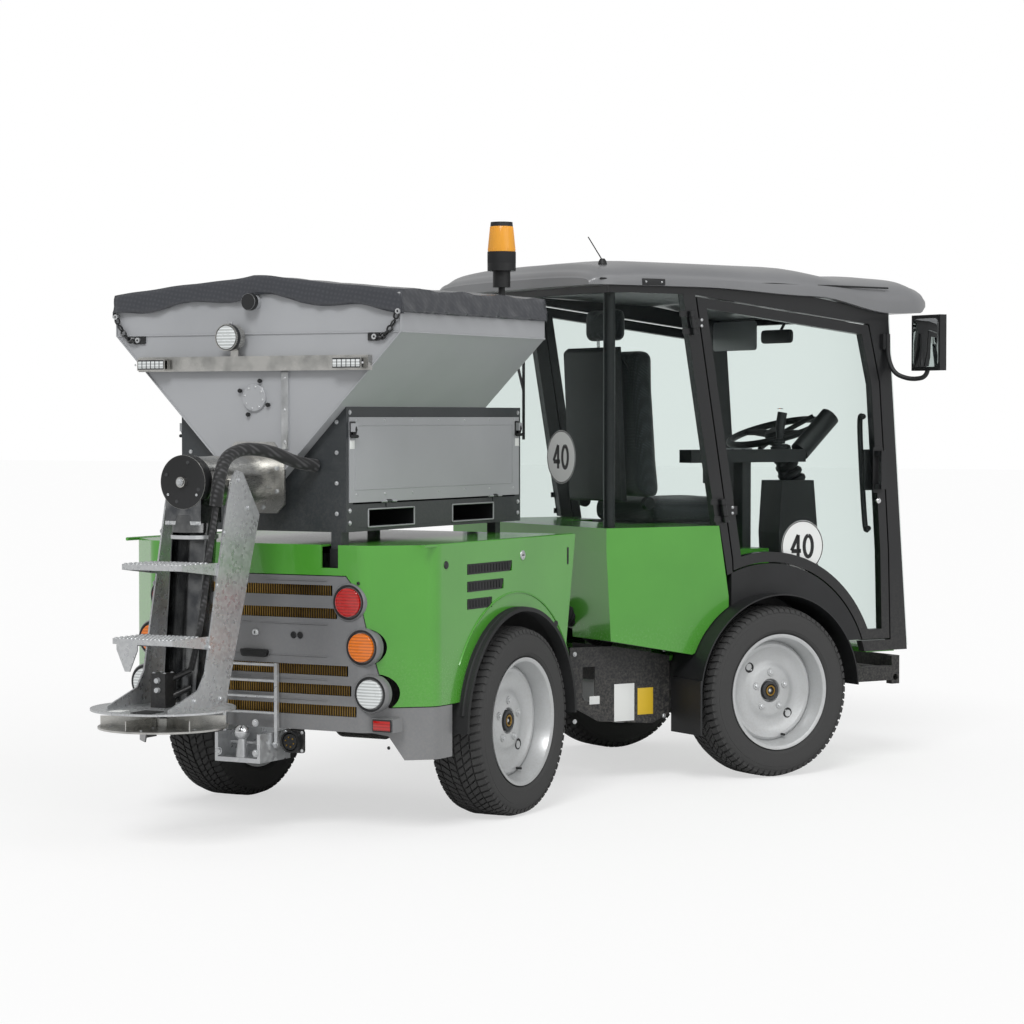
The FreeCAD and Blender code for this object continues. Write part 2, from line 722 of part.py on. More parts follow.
def rear_panel():
    """The grey rear panel with its slots and lamp housings."""
    outer = body_ring(P.bumper_low, P.panel_top + 20.0)
    inner = body_hollow(P.bumper_low - 50.0, P.panel_top + 60.0)
    skin = common(cut(outer, inner), panel_region(0.0))
    below = [(-700.0, 150.0), (-700.0, P.bumper_low), (-520.0, P.bumper_low), (-480.0, 330.0),
             (-440.0, 342.0), (440.0, 342.0), (480.0, 330.0), (520.0, P.bumper_low),
             (700.0, P.bumper_low), (700.0, 150.0)]
    under = prism("YZ", below, P.body_rear - 60.0, -350.0)
    wide = P.body_half + 60.0
    arch = rod("y", (0.0, -wide, P.tyre_radius), P.arch_radius + 20.0, wide * 2)
    ahead = box((-430.0, 700.0), (-wide, wide), (P.bumper_low - 60.0, P.hood_top))
    slots = [box((P.body_rear - 10.0, P.body_rear + 20.0), (-half, half), (z - 17.0, z + 17.0))
             for half, z in SLOTS]
    skin = cut(skin, under, arch, ahead, *slots)
    housings = lamp_drums(0.0, 36.0)
    for side in (1.0, -1.0):
        housings.append(box((P.body_rear, P.body_rear + 60.0), (side * 490.0 - 40.0, side * 490.0 + 40.0),
                            (348.0, 392.0)))
    return fuse(skin, *housings)


def rear_lamps():
    """Round tail, turn and reversing lamps and the square reflectors."""
    face = P.body_rear - 2.0
    pieces = []
    for y, z in LAMPS:
        for side_y in (y, -y):
            pieces.append(rod("x", (face - 9.0, side_y, z), 48.0, 9.0))
    for side in (1.0, -1.0):
        pieces.append(box((P.body_rear - 5.0, P.body_rear), (side * 490.0 - 32.0, side * 490.0 + 32.0),
                          (354.0, 386.0)))
    return group(*pieces)


def arch_liners():
    """Rubber lips and inner liners of the rear wheel arches."""
    outer = P.arch_radius - P.fit_gap
    inner_y = P.axle_end + 6.0
    liner = cut(rod("y", (0.0, inner_y, P.tyre_radius), outer, P.body_half - inner_y + 36.0),
                rod("y", (0.0, inner_y - 5.0, P.tyre_radius), outer - 5.0, P.body_half + 60.0 - inner_y))
    lip = cut(rod("y", (0.0, P.body_half - 8.0, P.tyre_radius), outer, 44.0),
              rod("y", (0.0, P.body_half - 12.0, P.tyre_radius), outer - 14.0, 60.0))
    upper = box((-P.arch_radius - 30.0, P.arch_radius + 30.0), (0.0, P.body_half + 90.0),
                (P.tyre_radius - 5.0, P.hood_top))
    return group(*both(common(fuse(liner, lip), upper)))


def rear_hitch():
    """Galvanised drawbar bracket with its tow ball and the pins of the fold-up step."""
    start = P.rear_rail_start - 20.0 - P.fit_gap
    cheek_z = (235.0, 330.0)
    cheek_outer = P.step_half - 12.0 - P.run_gap
    pieces = pair_of_boxes((-800.0, start), cheek_outer - 12.0, cheek_outer, cheek_z)
    pieces.append(box((-800.0, start), (-cheek_outer, cheek_outer), (235.0, 250.0)))
    pieces.append(box((start - 14.0, start), (-cheek_outer, cheek_outer), (235.0, 400.0)))
    pieces.append(cone("z", (-772.0, 0.0, 250.0), 22.0, 14.0, 60.0))
    pieces.append(ball((-772.0, 0.0, 330.0), 25.0))
    pieces.append(rod("y", (P.step_hinge_x, -P.step_half - 2.0, P.step_hinge_z), 6.0,
                      (P.step_half + 2.0) * 2))
    return fuse(*pieces)


def fold_up_step():
    """Folding access step: a bar frame with four rungs on two hinged legs."""
    bar = P.step_bar
    half = P.step_half - bar
    base = P.step_hinge_z
    pieces = []
    for y in (half, -half):
        leg = box((P.step_hinge_x - bar, P.step_hinge_x + bar), (y - bar, y + bar), (base, P.step_top))
        eye = rod("y", (P.step_hinge_x, y - bar, base), 12.0, bar * 2)
        pieces.append(fuse(leg, eye))
    for share in range(4):
        level = P.step_hinge_z + 103.0 + (P.step_top - bar - P.step_hinge_z - 103.0) * (share / 3.0)
        pieces.append(rod("y", (P.step_hinge_x, -half, level), bar - 1.0, half * 2))
    bore = rod("y", (P.step_hinge_x, -P.step_half - 5.0, base), 6.0 + P.fit_gap, P.step_half * 2 + 10.0)
    return cut(fuse(*pieces), bore)


# ---------------------------------------------------------------------------------------------
# Spreader
# ---------------------------------------------------------------------------------------------
def hopper_plan(half, grow, front):
    """Plan outline of the hopper at one level."""
    nose = P.hopper_nose_half
    return [(P.hopper_rear - grow, -half - grow), (P.hopper_cut_x + 0.4 * grow, -half - grow),
            (front + grow, -nose - 0.4 * grow), (front + grow, nose + 0.4 * grow),
            (P.hopper_cut_x + 0.4 * grow, half + grow), (P.hopper_rear - grow, half + grow)]


def trough_plan(grow):
    """Plan outline of the hopper at its trough."""
    half = P.trough_radius + grow
    front = P.trough_front + grow
    return [(P.hopper_rear - grow, -half), (P.hopper_cut_x, -half), (front, -half * 0.6),
            (front, half * 0.6), (P.hopper_cut_x, half), (P.hopper_rear - grow, half)]


def hopper_body(grow, top):
    """The hopper's outside, grown by an allowance: upright rim, sloping sides and round trough."""
    rim_plan = hopper_plan(P.hopper_half, grow, P.hopper_front)
    upright = prism("XY", rim_plan, P.hopper_bend, top)
    slopes = loft(trough_plan(grow), P.auger_z, rim_plan, P.hopper_bend)
    trough = rod("x", (P.hopper_rear - grow, 0.0, P.auger_z), P.trough_radius + grow,
                 P.trough_front - P.hopper_rear + grow * 2)
    return fuse(upright, slopes, trough)


def gable(x_start, half, shoulder):
    """A gable plate that carries the cover's ridge."""
    points = [(-half, P.hopper_bend), (-half, shoulder), (0.0, P.hopper_ridge), (half, shoulder),
              (half, P.hopper_bend)]
    return prism("YZ", points, x_start, x_start + P.hopper_wall)


def hopper():
    """Sheet hopper with gabled ends, ridge tube and inspection cover."""
    wall = P.hopper_wall
    shell = cut(hopper_body(0.0, P.hopper_rim), hopper_body(-wall, P.hopper_rim + 20.0))
    front_shoulder = P.hopper_ridge - (P.hopper_ridge - P.hopper_rim) * 0.565
    ends = [gable(P.hopper_rear, P.hopper_half, P.hopper_rim),
            gable(P.hopper_front - wall, P.hopper_nose_half, front_shoulder)]
    ridge = rod("x", (P.hopper_rear - 40.0, 0.0, P.hopper_ridge - 80.0), 27.0,
                P.hopper_front - P.hopper_rear + 40.0)
    cover = rod("x", (P.hopper_rear - 6.0, 0.0, 1430.0), 45.0, 6.0)
    strip = box((P.hopper_rear - 6.0, P.hopper_rear), (-135.0, -107.0), (1262.0, 1518.0))
    outlet = rod("x", (P.hopper_rear - 10.0, 0.0, P.auger_z), P.auger_radius - 6.0, 30.0)
    return cut(fuse(shell, ridge, cover, strip, *ends), outlet)


def hopper_cover():
    """The tarpaulin over the hopper, a soft sheet with a ridge and hanging skirts."""
    clear = 0.5
    sheet = P.tarp_thickness
    skirt = 1700.0

    def roofed(grow, lift):
        """The room below the cover's surface."""
        plan = prism("XY", hopper_plan(P.hopper_half, grow, P.hopper_front), skirt - 20.0,
                     P.hopper_ridge + 60.0)
        half = P.hopper_half + 40.0
        drop = (P.hopper_ridge - P.hopper_rim) * (1.0 + 40.0 / P.hopper_half)
        eaves = P.hopper_ridge - drop + lift
        section = prism("YZ", [(-half, skirt - 30.0), (-half, eaves), (0.0, P.hopper_ridge + lift),
                               (half, eaves), (half, skirt - 30.0)],
                        P.hopper_rear - 60.0, P.hopper_front + 60.0)
        return common(plan, section)

    half = P.hopper_half + 60.0
    below = prism("YZ", [(-half, skirt - 60.0), (-half, skirt - 4.0), (0.0, skirt + 78.0),
                         (half, skirt - 4.0), (half, skirt - 60.0)],
                  P.hopper_rear - 80.0, P.hopper_front + 80.0)
    return cut(roofed(clear + sheet, clear * 2 + sheet), roofed(clear, clear * 2), below)


def light_bar():
    """Steel bar across the hopper's rear with corner flashers and a round work lamp."""
    face = P.hopper_rear - P.fit_gap
    rear = P.hopper_rear - 26.0
    half = 454.0
    bar = fuse(box((rear, rear + 4.0), (-half, half), (1518.0, 1567.0)),
               box((rear, face), (-half, half), (1563.0, 1567.0)),
               box((rear, face), (half - 4.0, half), (1518.0, 1567.0)),
               box((rear, face), (-half, -half + 4.0), (1518.0, 1567.0)))
    flashers = pair_of_boxes((rear - 24.0, rear - P.fit_gap), 330.0, 442.0, (1522.0, 1560.0))
    bracket = box((rear + 4.0, rear + 9.0), (52.0, 82.0), (1567.0, 1640.0))
    lamp = rod("x", (rear - 44.0, 67.0, 1628.0), 44.0, 48.0)
    return group(fuse(bar, bracket, lamp), *flashers)


def auger_tube():
    """Auger tube with its mounting flange, outlet and end drive cap."""
    face = P.hopper_rear - P.fit_gap
    length = face - P.auger_end
    outer = rod("x", (P.auger_end, 0.0, P.auger_z), P.auger_radius, length)
    cap = rod("x", (P.auger_end, 0.0, P.auger_z), P.auger_radius + 6.0, 42.0)
    flange = prism("YZ", [(-120.0, 1080.0), (-120.0, 1235.0), (-75.0, 1285.0), (75.0, 1285.0),
                          (120.0, 1235.0), (120.0, 1080.0), (90.0, 1050.0), (-90.0, 1050.0)],
                   face - 8.0, face)
    boss = rod("x", (P.auger_end - 14.0, 0.0, P.auger_z), 17.0, 14.0)
    bore = rod("x", (P.auger_end + 30.0, 0.0, P.auger_z), P.auger_radius - 5.0, length)
    mouth = box((-1085.0, -1000.0), (-55.0, 55.0), (P.auger_z - P.auger_radius - 5.0, P.auger_z))
    pivot = rod("y", (-959.0, -P.stringer_inner + P.fit_gap, P.auger_z), 22.0,
                (P.stringer_inner - P.fit_gap) * 2)
    tube = cut(fuse(outer, cap, flange, boss, pivot), bore, mouth)
    return tube


FORK_POCKETS = ((-512.0, -215.0), (44.0, 337.0))
COVER_HINGES = (-430.0, 300.0)
KNUCKLE = 30.0


def cover_knuckle(x_start):
    """One knuckle of the side cover's hinge."""
    return rod("x", (x_start, P.deck_half + P.fit_gap + P.cover_thickness, P.cover_low), 4.0, KNUCKLE)


def base_posts(low, high):
    """Corner posts and end plates of the spreader base between two heights."""
    tube = P.deck_tube
    half = P.deck_half
    pieces = []
    for x_start in (P.deck_rear, P.deck_front - tube):
        pieces += pair_of_boxes((x_start, x_start + tube), half - tube, half, (low, high))
    for x_start in (P.deck_rear, P.deck_front - 3.0):
        pieces.append(box((x_start, x_start + 3.0), (-half, half), (low, high)))
    return pieces


def fork_frame():
    """Lower part of the spreader base: rails, cross members, corner posts and feet."""
    tube = P.deck_tube
    half = P.deck_half
    x_range = (P.deck_rear, P.deck_front)
    rail_z = (P.deck_low, P.fork_low - 1.0)
    foot_z = (P.deck_low - 55.0 + P.fit_gap, P.deck_low)
    pieces = pair_of_boxes(x_range, half - tube, half, rail_z)
    pieces += pair_of_boxes((P.deck_rear, P.deck_rear + 46.0), P.rail_inner + 38.0, P.rail_inner + 77.0, foot_z)
    pieces += pair_of_boxes((452.0, 488.0), P.rail_inner + 8.0, P.rail_inner + 42.0, foot_z)
    pieces.append(box((452.0, 488.0), (-half, half), rail_z))
    pieces.append(box((P.deck_rear, P.deck_rear + tube), (-half, half), rail_z))
    sleeves = [pocket_box(ends, P.pocket_wall + P.fit_gap) for ends in FORK_POCKETS]
    return cut(fuse(*(pieces + base_posts(P.deck_low, P.deck_split))), *sleeves)


def pocket_box(ends, grown):
    """The space of a fork pocket with its ends along the machine, grown by a wall."""
    return box((ends[0] - grown, ends[1] + grown), (-P.deck_half, P.deck_half),
               (P.fork_low - grown, P.fork_high + grown))


def fork_pockets():
    """The two sleeves that take a lift truck's forks."""
    made = []
    for ends in FORK_POCKETS:
        bore = box(ends, (-P.deck_half - 10.0, P.deck_half + 10.0), (P.fork_low, P.fork_high))
        made.append(cut(pocket_box(ends, P.pocket_wall), bore))
    return made


def side_plates():
    """Flat plates that close the sides of the base between posts and fork pockets."""
    grown = P.pocket_wall + P.fit_gap
    edges = [P.deck_rear + P.deck_tube + P.fit_gap]
    for start, end in FORK_POCKETS:
        edges += [start - grown, end + grown]
    edges.append(P.deck_front - P.deck_tube - P.fit_gap)
    level = (P.fork_low - 1.0 + P.fit_gap, P.deck_split)
    made = []
    for start, end in zip(edges[::2], edges[1::2]):
        made += pair_of_boxes((start, end), P.deck_half - 3.0, P.deck_half, level)
    return made


def base_frame():
    """Upper part of the spreader base: corner posts, end plates and top rails round the hopper."""
    pieces = base_posts(P.deck_split, P.deck_high)
    pieces += pair_of_boxes((P.deck_rear, P.deck_front), P.deck_half - 27.0, P.deck_half,
                            (P.deck_high - P.deck_tube, P.deck_high))
    pieces += pair_of_boxes((P.deck_rear, P.deck_front), P.deck_half - 3.0, P.deck_half,
                            (P.deck_split, P.cover_low - P.run_gap))
    for x in COVER_HINGES:
        leaf = box((x + KNUCKLE + 1.0, x + KNUCKLE * 2 + 1.0), (P.deck_half, P.deck_half + 2.5),
                   (P.deck_split, P.cover_low))
        pieces += both(fuse(leaf, cover_knuckle(x + KNUCKLE + 1.0)))
    return cut(fuse(*pieces), hopper_body(P.fit_gap, P.hopper_rim))


def side_cover():
    """Left side cover of the spreader base, hinged along its lower edge."""
    start = P.deck_half + P.fit_gap
    panel = box((P.deck_rear + 14.0, P.deck_front - 18.0), (start, start + P.cover_thickness),
                (P.cover_low, 1366.0))
    notches = [box((x + KNUCKLE, x + KNUCKLE * 2 + 2.0), (start - 5.0, start + 10.0),
                   (P.cover_low - 5.0, P.cover_low + 6.0)) for x in COVER_HINGES]
    knuckles = [cover_knuckle(x + shift) for x in COVER_HINGES for shift in (0.0, KNUCKLE * 2 + 2.0)]
    latches = [box((x, x + 26.0), (start + P.cover_thickness, start + P.cover_thickness + 16.0),
                   (1318.0, 1346.0)) for x in (P.deck_rear + 16.0, P.deck_front - 46.0)]
    return fuse(cut(panel, *notches), *(knuckles + latches))


STRINGER = [(-1005.0, 1165.0), (-975.0, 1197.0), (-940.0, 1190.0), (-845.0, 1051.0)]


def disc_carrier():
    """Two stringer plates, the disc guard plate and the salt chute's seat."""
    low = P.guard_top
    foot = [(-1040.0, low), (-1346.0, low), (-1346.0, low + 9.0), (-1190.0, 510.0), (-1152.0, 560.0),
            (-1099.0, 787.0), (-1030.0, 1090.0)]
    outer = P.stringer_inner + P.stringer_sheet
    plates = [prism("XZ", STRINGER + foot, start, end) for start, end in sides(P.stringer_inner, outer)]
    guard = rod("z", (P.disc_x, 0.0, low - 6.0), P.guard_radius, 6.0)
    trim = box((-1032.0, -900.0), (-300.0, 300.0), (low - 20.0, low + 20.0))
    drop = rod("z", (-1100.0, 0.0, low - 20.0), 52.0, 40.0)
    shaft = rod("z", (P.disc_x, 0.0, low - 20.0), 16.0, 40.0)
    return fuse(cut(guard, trim, drop, shaft), *plates)


def chute():
    """Salt chute under the auger: a square collar round its mouth and a leaning pipe, open behind."""
    low = P.guard_top + P.fit_gap
    outer = rod_between((-1100.0, 0.0, low), (-1032.0, 0.0, 1046.0), 72.0)
    inner = rod_between((-1101.0, 0.0, P.guard_top - 40.0), (-1028.5, 0.0, 1090.0), 69.0)
    level = box((-1300.0, -900.0), (-120.0, 120.0), (P.guard_top - 60.0, low))
    lean = [(-1300.0, P.guard_top - 10.0), (-1128.0, P.guard_top - 10.0), (-1068.0, 1000.0),
            (-1300.0, 1000.0)]
    pipe = cut(outer, inner, level, prism("XZ", lean, -120.0, 120.0))
    collar = box((-1098.0, -984.0), (-68.0, 68.0), (1030.0, P.auger_z - 35.0))
    hollow = box((-1095.0, -987.0), (-65.0, 65.0), (1000.0, P.auger_z))
    saddle = rod("x", (-1200.0, 0.0, P.auger_z), P.auger_radius + P.fit_gap, 400.0)
    cap_room = rod("x", (-1200.0, 0.0, P.auger_z), P.auger_radius + 6.0 + P.fit_gap, 142.0 + P.fit_gap)
    return fuse(cut(collar, hollow, saddle, cap_room), pipe)


def step(x_start, x_end, top, drop):
    """A serrated tread with a turned-down nose and two side plates."""
    half = P.stringer_inner - P.fit_gap
    tread = box((x_start, x_end - 60.0), (-half, half), (top - 3.0, top))
    nose = box((x_start, x_start + 3.0), (-half, half), (top - 18.0, top))
    side_outline = [(x_start, top), (x_start, top - 18.0), (x_end, top - drop), (x_end, top)]
    cheeks = [prism("XZ", side_outline, start, end) for start, end in sides(half - 3.0, half)]
    return fuse(tread, nose, *cheeks)


def spreader_steps():
    """Two access steps between the stringers and the locking bracket below them."""
    upper = step(-1268.0, -1064.0, 905.0, 42.0)
    lower = step(-1318.0, -1120.0, 675.0, 42.0)
    bracket = prism("YZ", [(20.0, 660.0), (100.0, 660.0), (100.0, 640.0), (68.0, 572.0), (50.0, 572.0),
                           (20.0, 640.0)], -1318.0, -1313.0)
    return group(upper, fuse(lower, bracket))


def disc_motor():
    """Hydraulic motor on the guard plate with its shaft and port fittings."""
    low = P.guard_top + P.fit_gap
    housing = box((P.disc_x - 28.0, P.disc_x + 28.0), (-28.0, 28.0), (low, low + 108.0))
    shaft = rod("z", (P.disc_x, 0.0, P.spinner_low + 12.0), 12.0, low - P.spinner_low - 10.0)
    ports = [rod_between((P.disc_x + 20.0, -20.0, low + level), (P.disc_x + 62.0, -62.0, low + level + 26.0), 9.0)
             for level in (34.0, 88.0)]
    return fuse(housing, shaft, *ports)


def spinner_disc():
    """Spreading disc with hub and six blades."""
    base = rod("z", (P.disc_x, 0.0, P.spinner_low), P.spinner_radius, 4.0)
    hub = rod("z", (P.disc_x, 0.0, P.spinner_low), 38.0, 30.0)
    pieces = [base, hub]
    for index in range(6):
        angle = index * 60.0
        blade = box((40.0, P.spinner_radius - 8.0), (-2.0, 2.0), (P.spinner_low + 3.0,
                                                                P.spinner_low + P.blade_height))
        turn = FreeCAD.Rotation(V(0, 0, 1), angle)
        arm = V(40.0, -2.0, 0.0)
        placed = turn.multVec(arm)
        centre = V(P.disc_x.value, 0.0, 0.0)
        blade.setExpression("Placement.Base.x", None)
        blade.setExpression("Placement.Base.y", None)
        blade.Placement = FreeCAD.Placement(V(centre.x + placed.x, placed.y, P.spinner_low.value + 3.0), turn)
        bind(blade, "Placement.Base.x", P.disc_x + placed.x)
        pieces.append(blade)
    bore = rod("z", (P.disc_x, 0.0, P.spinner_low + 5.0), 12.0 + P.fit_gap, 60.0)
    return cut(fuse(*pieces), bore)


SLEEVE = [(-653.2, -213.0, 1207.0), (-730.0, -190.0, 1218.0), (-830.0, -150.0, 1258.0),
          (-930.0, -116.0, 1266.0), (-1020.0, -108.0, 1240.0), (-1064.0, -112.5, 1165.0),
          (-1066.0, -104.0, 1085.0)]
MOTOR_HOSE = [(-1066.2, -103.7, 1083.2), (-1072.0, -93.0, 1000.0), (-1095.0, -92.0, 900.0),
              (-1115.0, -92.0, 800.0), (-1138.0, -91.0, 700.0), (-1146.0, -72.0, 606.0),
              (-1147.7, -62.5, 569.0)]


def auger_hoses():
    """The hydraulic hose bundle: a woven sleeve and the hose that leaves it for the disc motor."""
    sleeve = tube_along(SLEEVE, 21.0, "hose sleeve")
    hose = tube_along(MOTOR_HOSE, 10.0, "motor hose")
    return free_shape("hoses", Part.makeCompound([sleeve, hose]))


def warning_beacon():
    """Beacon on its mast beside the hopper's front."""
    x = P.hopper_front + 18.0
    y = -230.0
    bracket = box((P.hopper_front + P.fit_gap, x + 12.0), (y - 22.0, y + 22.0), (1645.0, 1690.0))
    mast = rod("z", (x + 8.0, y, 1560.0), 12.0, 340.0)
    base = rod("z", (x + 8.0, y, 1840.0), 32.0, 60.0)
    foot = rod("z", (x + 8.0, y, 1900.0), 52.0, 70.0)
    lens = cone("z", (x + 8.0, y, 1970.0), 50.0, 40.0, 108.0)
    return fuse(bracket, mast, base, foot, lens)


# ---------------------------------------------------------------------------------------------
# Steering cylinder
# ---------------------------------------------------------------------------------------------
def cylinder_ends():
    """Rear pin and rod pin of the steering cylinder in the rear section's frame, at the park angle."""
    turn = math.radians(P.steer_angle.value)
    along, across = P.rod_pin_x.value, -P.rod_pin_y.value
    rod_pin = V(P.pivot_x.value + along * math.cos(turn) - across * math.sin(turn),
                along * math.sin(turn) + across * math.cos(turn), P.cylinder_z.value)
    return V(P.cylinder_rear_x.value, -P.cylinder_side.value, P.cylinder_z.value), rod_pin


def steering_barrel():
    """Cylinder barrel with its rear eye."""
    rear_pin, rod_pin = cylinder_ends()
    run = rod_pin - rear_pin
    run.normalize()
    level = V(0, 0, 1)
    barrel = Part.makeCylinder(28.0, 336.0, rear_pin + run * 18.0, run)
    eye = Part.makeCylinder(22.0, 44.0, rear_pin - level * 22.0, level)
    bore = Part.makeCylinder(10.3, 60.0, rear_pin - level * 30.0, level)
    rod_bore = Part.makeCylinder(15.3, 320.0, rear_pin + run * 60.0, run)
    return free_shape("barrel", barrel.fuse(eye).cut(bore).cut(rod_bore).removeSplitter())


def steering_rod():
    """Cylinder rod with its open front eye."""
    rear_pin, rod_pin = cylinder_ends()
    run = rod_pin - rear_pin
    length = run.Length
    run.normalize()
    level = V(0, 0, 1)
    shaft = Part.makeCylinder(15.0, length - 20.0 - 105.0, rear_pin + run * 105.0, run)
    eye = Part.makeCylinder(28.0, 36.0, rod_pin - level * 18.0, level)
    bore = Part.makeCylinder(18.0, 60.0, rod_pin - level * 30.0, level)
    return free_shape("rod", shaft.fuse(eye).cut(bore).removeSplitter())


# ---------------------------------------------------------------------------------------------
# Front section: chassis
# ---------------------------------------------------------------------------------------------
def front_chassis():
    """Pivot boss, rails, side plates, and pins for the steering rod and the lift arms."""
    boss_z = (P.yoke_low + P.yoke_plate + P.run_gap, P.yoke_high - P.yoke_plate - P.run_gap)
    inner = P.front_rail_inner
    outer = inner + P.rail_width
    start = P.front_rail_start
    rail_z = (P.rail_low, P.front_rail_high)
    pieces = [rod("z", (P.pivot_x, 0.0, boss_z[0]), P.pivot_boss, boss_z[1] - boss_z[0]),
              box((P.pivot_x, start), (-60.0, 60.0), boss_z),
              box((start - 20.0, start + 20.0), (-outer, outer), (P.rail_low, P.rail_high - 25.0)),
              box((P.front_rail_end - 20.0, P.front_rail_end), (-outer, outer), rail_z)]
    pieces += pair_of_boxes((start, P.front_rail_end), inner, outer, rail_z)
    pieces += pair_of_boxes((start - 6.0, start), outer - 5.0, 446.0, (P.rail_low, 515.0))
    plate_end = P.front_axle_x - P.fender_radius - P.run_gap
    plate = [(975.0, 300.0), (975.0, 515.0), (1165.0, 512.0), (plate_end, 467.0), (plate_end, 245.0),
             (1340.0, 215.0), (1100.0, 235.0)]
    window = [(1030.0, 320.0), (1030.0, 440.0), (1085.0, 440.0), (1085.0, 300.0)]
    plates = [cut(prism("XZ", plate, low, high), prism("XZ", window, low - 10.0, high + 10.0))
              for low, high in sides(440.0, 446.0)]
    boss = rod("z", (P.pivot_x, 0.0, P.yoke_low), P.pin_radius + P.fit_gap, P.yoke_high - P.yoke_low)
    lug_x = P.pivot_x + P.rod_pin_x
    rod_lug = box((lug_x - 22.0, start), (-P.rod_pin_y - 22.0, -P.rod_pin_y + 22.0),
                  (P.rail_low + 60.0, P.cylinder_z - 18.0 - P.run_gap))
    lift_pins = [rod("y", (P.lift_pin_x, y, P.lift_pin_z), 14.0, 44.0) for y in (outer - 2.0, -outer - 42.0)]
    return cut(fuse(*(pieces + plates + [rod_lug] + lift_pins)), boss)


def lift_arms():
    """Front lift arms with their cross tube and the quick hitch plate."""
    outer = P.front_rail_inner + P.rail_width
    arm_y = (outer + P.run_gap, outer + P.run_gap + 28.0)
    reach = 2665.0
    outline = [(P.lift_pin_x - 24.0, 380.0), (P.lift_pin_x - 24.0, 424.0), (P.lift_pin_x + 30.0, 424.0),
               (2470.0, 360.0), (reach, 360.0), (reach, 300.0), (2450.0, 300.0)]
    arms = [prism("XZ", outline, low, high) for low, high in sides(*arm_y)]
    tube = rod("y", (reach - 55.0, -arm_y[1], 330.0), 25.0, arm_y[1] * 2)
    plate = box((reach - 15.0, reach), (-arm_y[1], arm_y[1]), (300.0, 400.0))
    posts = pair_of_boxes((reach - 40.0, reach), arm_y[0] - P.run_gap, arm_y[1], (285.0, 400.0))
    pin_bore = rod("y", (P.lift_pin_x, -P.cab_half, P.lift_pin_z), 14.0 + P.fit_gap, P.cab_half * 2)
    hitch_bores = [rod("y", (reach - 20.0, low, 312.0), 12.5, high - low)
                   for low, high in sides(arm_y[0] - P.run_gap, arm_y[1])]
    return cut(fuse(tube, plate, *(arms + posts)), pin_bore, *hitch_bores)


def mudguards():
    """Front mudguards with their inner walls and the side webs below the doors."""
    centre = (P.front_axle_x, P.tyre_radius)
    outer = P.fender_radius
    start_y = P.axle_end + 5.0
    end_y = 645.0
    ring = cut(rod("y", (centre[0], start_y, centre[1]), outer, end_y - start_y),
               rod("y", (centre[0], start_y - 10.0, centre[1]), outer - P.fender_wall, 400.0))
    web = cut(rod("y", (centre[0], P.cab_half - 30.0, centre[1]), P.door_arch - P.door_gap, 30.0),
              rod("y", (centre[0], P.cab_half - 40.0, centre[1]), outer - P.fender_wall, 60.0),
              box((1000.0, 1625.0), (300.0, 700.0), (0.0, 1000.0)),
              box((1000.0, 2600.0), (300.0, 700.0), (-300.0, 500.0)))
    inner_wall = cut(rod("y", (centre[0], start_y, centre[1]), outer, 5.0),
                     box((1300.0, 2300.0), (start_y - 5.0, start_y + 10.0), (-100.0, 400.0)))
    keep = box((centre[0] - outer - 20.0, centre[0] + outer + 20.0), (300.0, 700.0),
               (centre[1] + 10.0, 900.0))
    flap = box((centre[0] - outer - 2.0, centre[0] - outer + 6.0), (452.0, end_y), (180.0, centre[1] + 60.0))
    return group(*both(fuse(common(ring, keep), web, inner_wall, flap)))


# ---------------------------------------------------------------------------------------------
# Cab
# ---------------------------------------------------------------------------------------------
DOOR = [(1462.0, 1815.0), (2275.0, 1722.0), (2330.0, 1500.0), (2354.0, 1189.0), (2378.0, 849.0),
        (2388.0, 500.0), (2200.0, 500.0), (1640.0, 700.0), (1633.0, 829.0)]
HINGES = [(1437.0, 573.0, 1718.0), (1581.0, 573.0, 1015.0)]


def wheel_clearance(radius):
    """A drum round the front wheel centre."""
    return rod("y", (P.front_axle_x, -800.0, P.tyre_radius), radius, 1600.0)


def hinge_line():
    """Unit vector up along the door's hinge line."""
    line = V(*HINGES[0]) - V(*HINGES[1])
    line.normalize()
    return line


def hinge_tube(centre, low, high, radius):
    """A rod on the hinge line between two distances from a hinge's centre."""
    middle = V(*centre)
    line = hinge_line()
    return rod_between(tuple(middle + line * low), tuple(middle + line * high), radius)


def door_frame():
    """Left door frame with hinge knuckles and outside handle."""
    low = P.cab_half - P.cab_sheet
    slab = prism("XZ", DOOR, low, P.cab_half)
    opening = cut(grown_prism(DOOR, low - 10.0, P.cab_half + 10.0, -P.door_border),
                  wheel_clearance(P.door_arch + P.door_border))
    leaf = cut(slab, wheel_clearance(P.door_arch), opening)
    knuckles = []
    for centre in HINGES:
        x, y, z = centre
        plate = box((x + 2.0, x + 66.0), (P.cab_half, P.cab_half + 6.0), (z - 16.0, z + 16.0))
        knuckles += [plate, hinge_tube(centre, -20.0, 20.0, 12.0)]
    handle = fuse(box((2305.0, 2345.0), (P.cab_half, P.cab_half + 30.0), (1085.0, 1105.0)),
                  box((2305.0, 2345.0), (P.cab_half, P.cab_half + 30.0), (1215.0, 1235.0)),
                  box((2312.0, 2340.0), (P.cab_half + 22.0, P.cab_half + 40.0), (1085.0, 1235.0)))
    bores = [hinge_tube(centre, -60.0, 60.0, 6.0 + P.fit_gap * 3.0) for centre in HINGES]
    return cut(fuse(leaf, handle, *knuckles), *bores)


def door_glass():
    """Left door pane."""
    middle = P.cab_half - P.cab_sheet / 2
    return cut(grown_prism(DOOR, middle - P.glass / 2, middle + P.glass / 2, -P.door_border - P.fit_gap),
               wheel_clearance(P.door_arch + P.door_border + P.fit_gap))


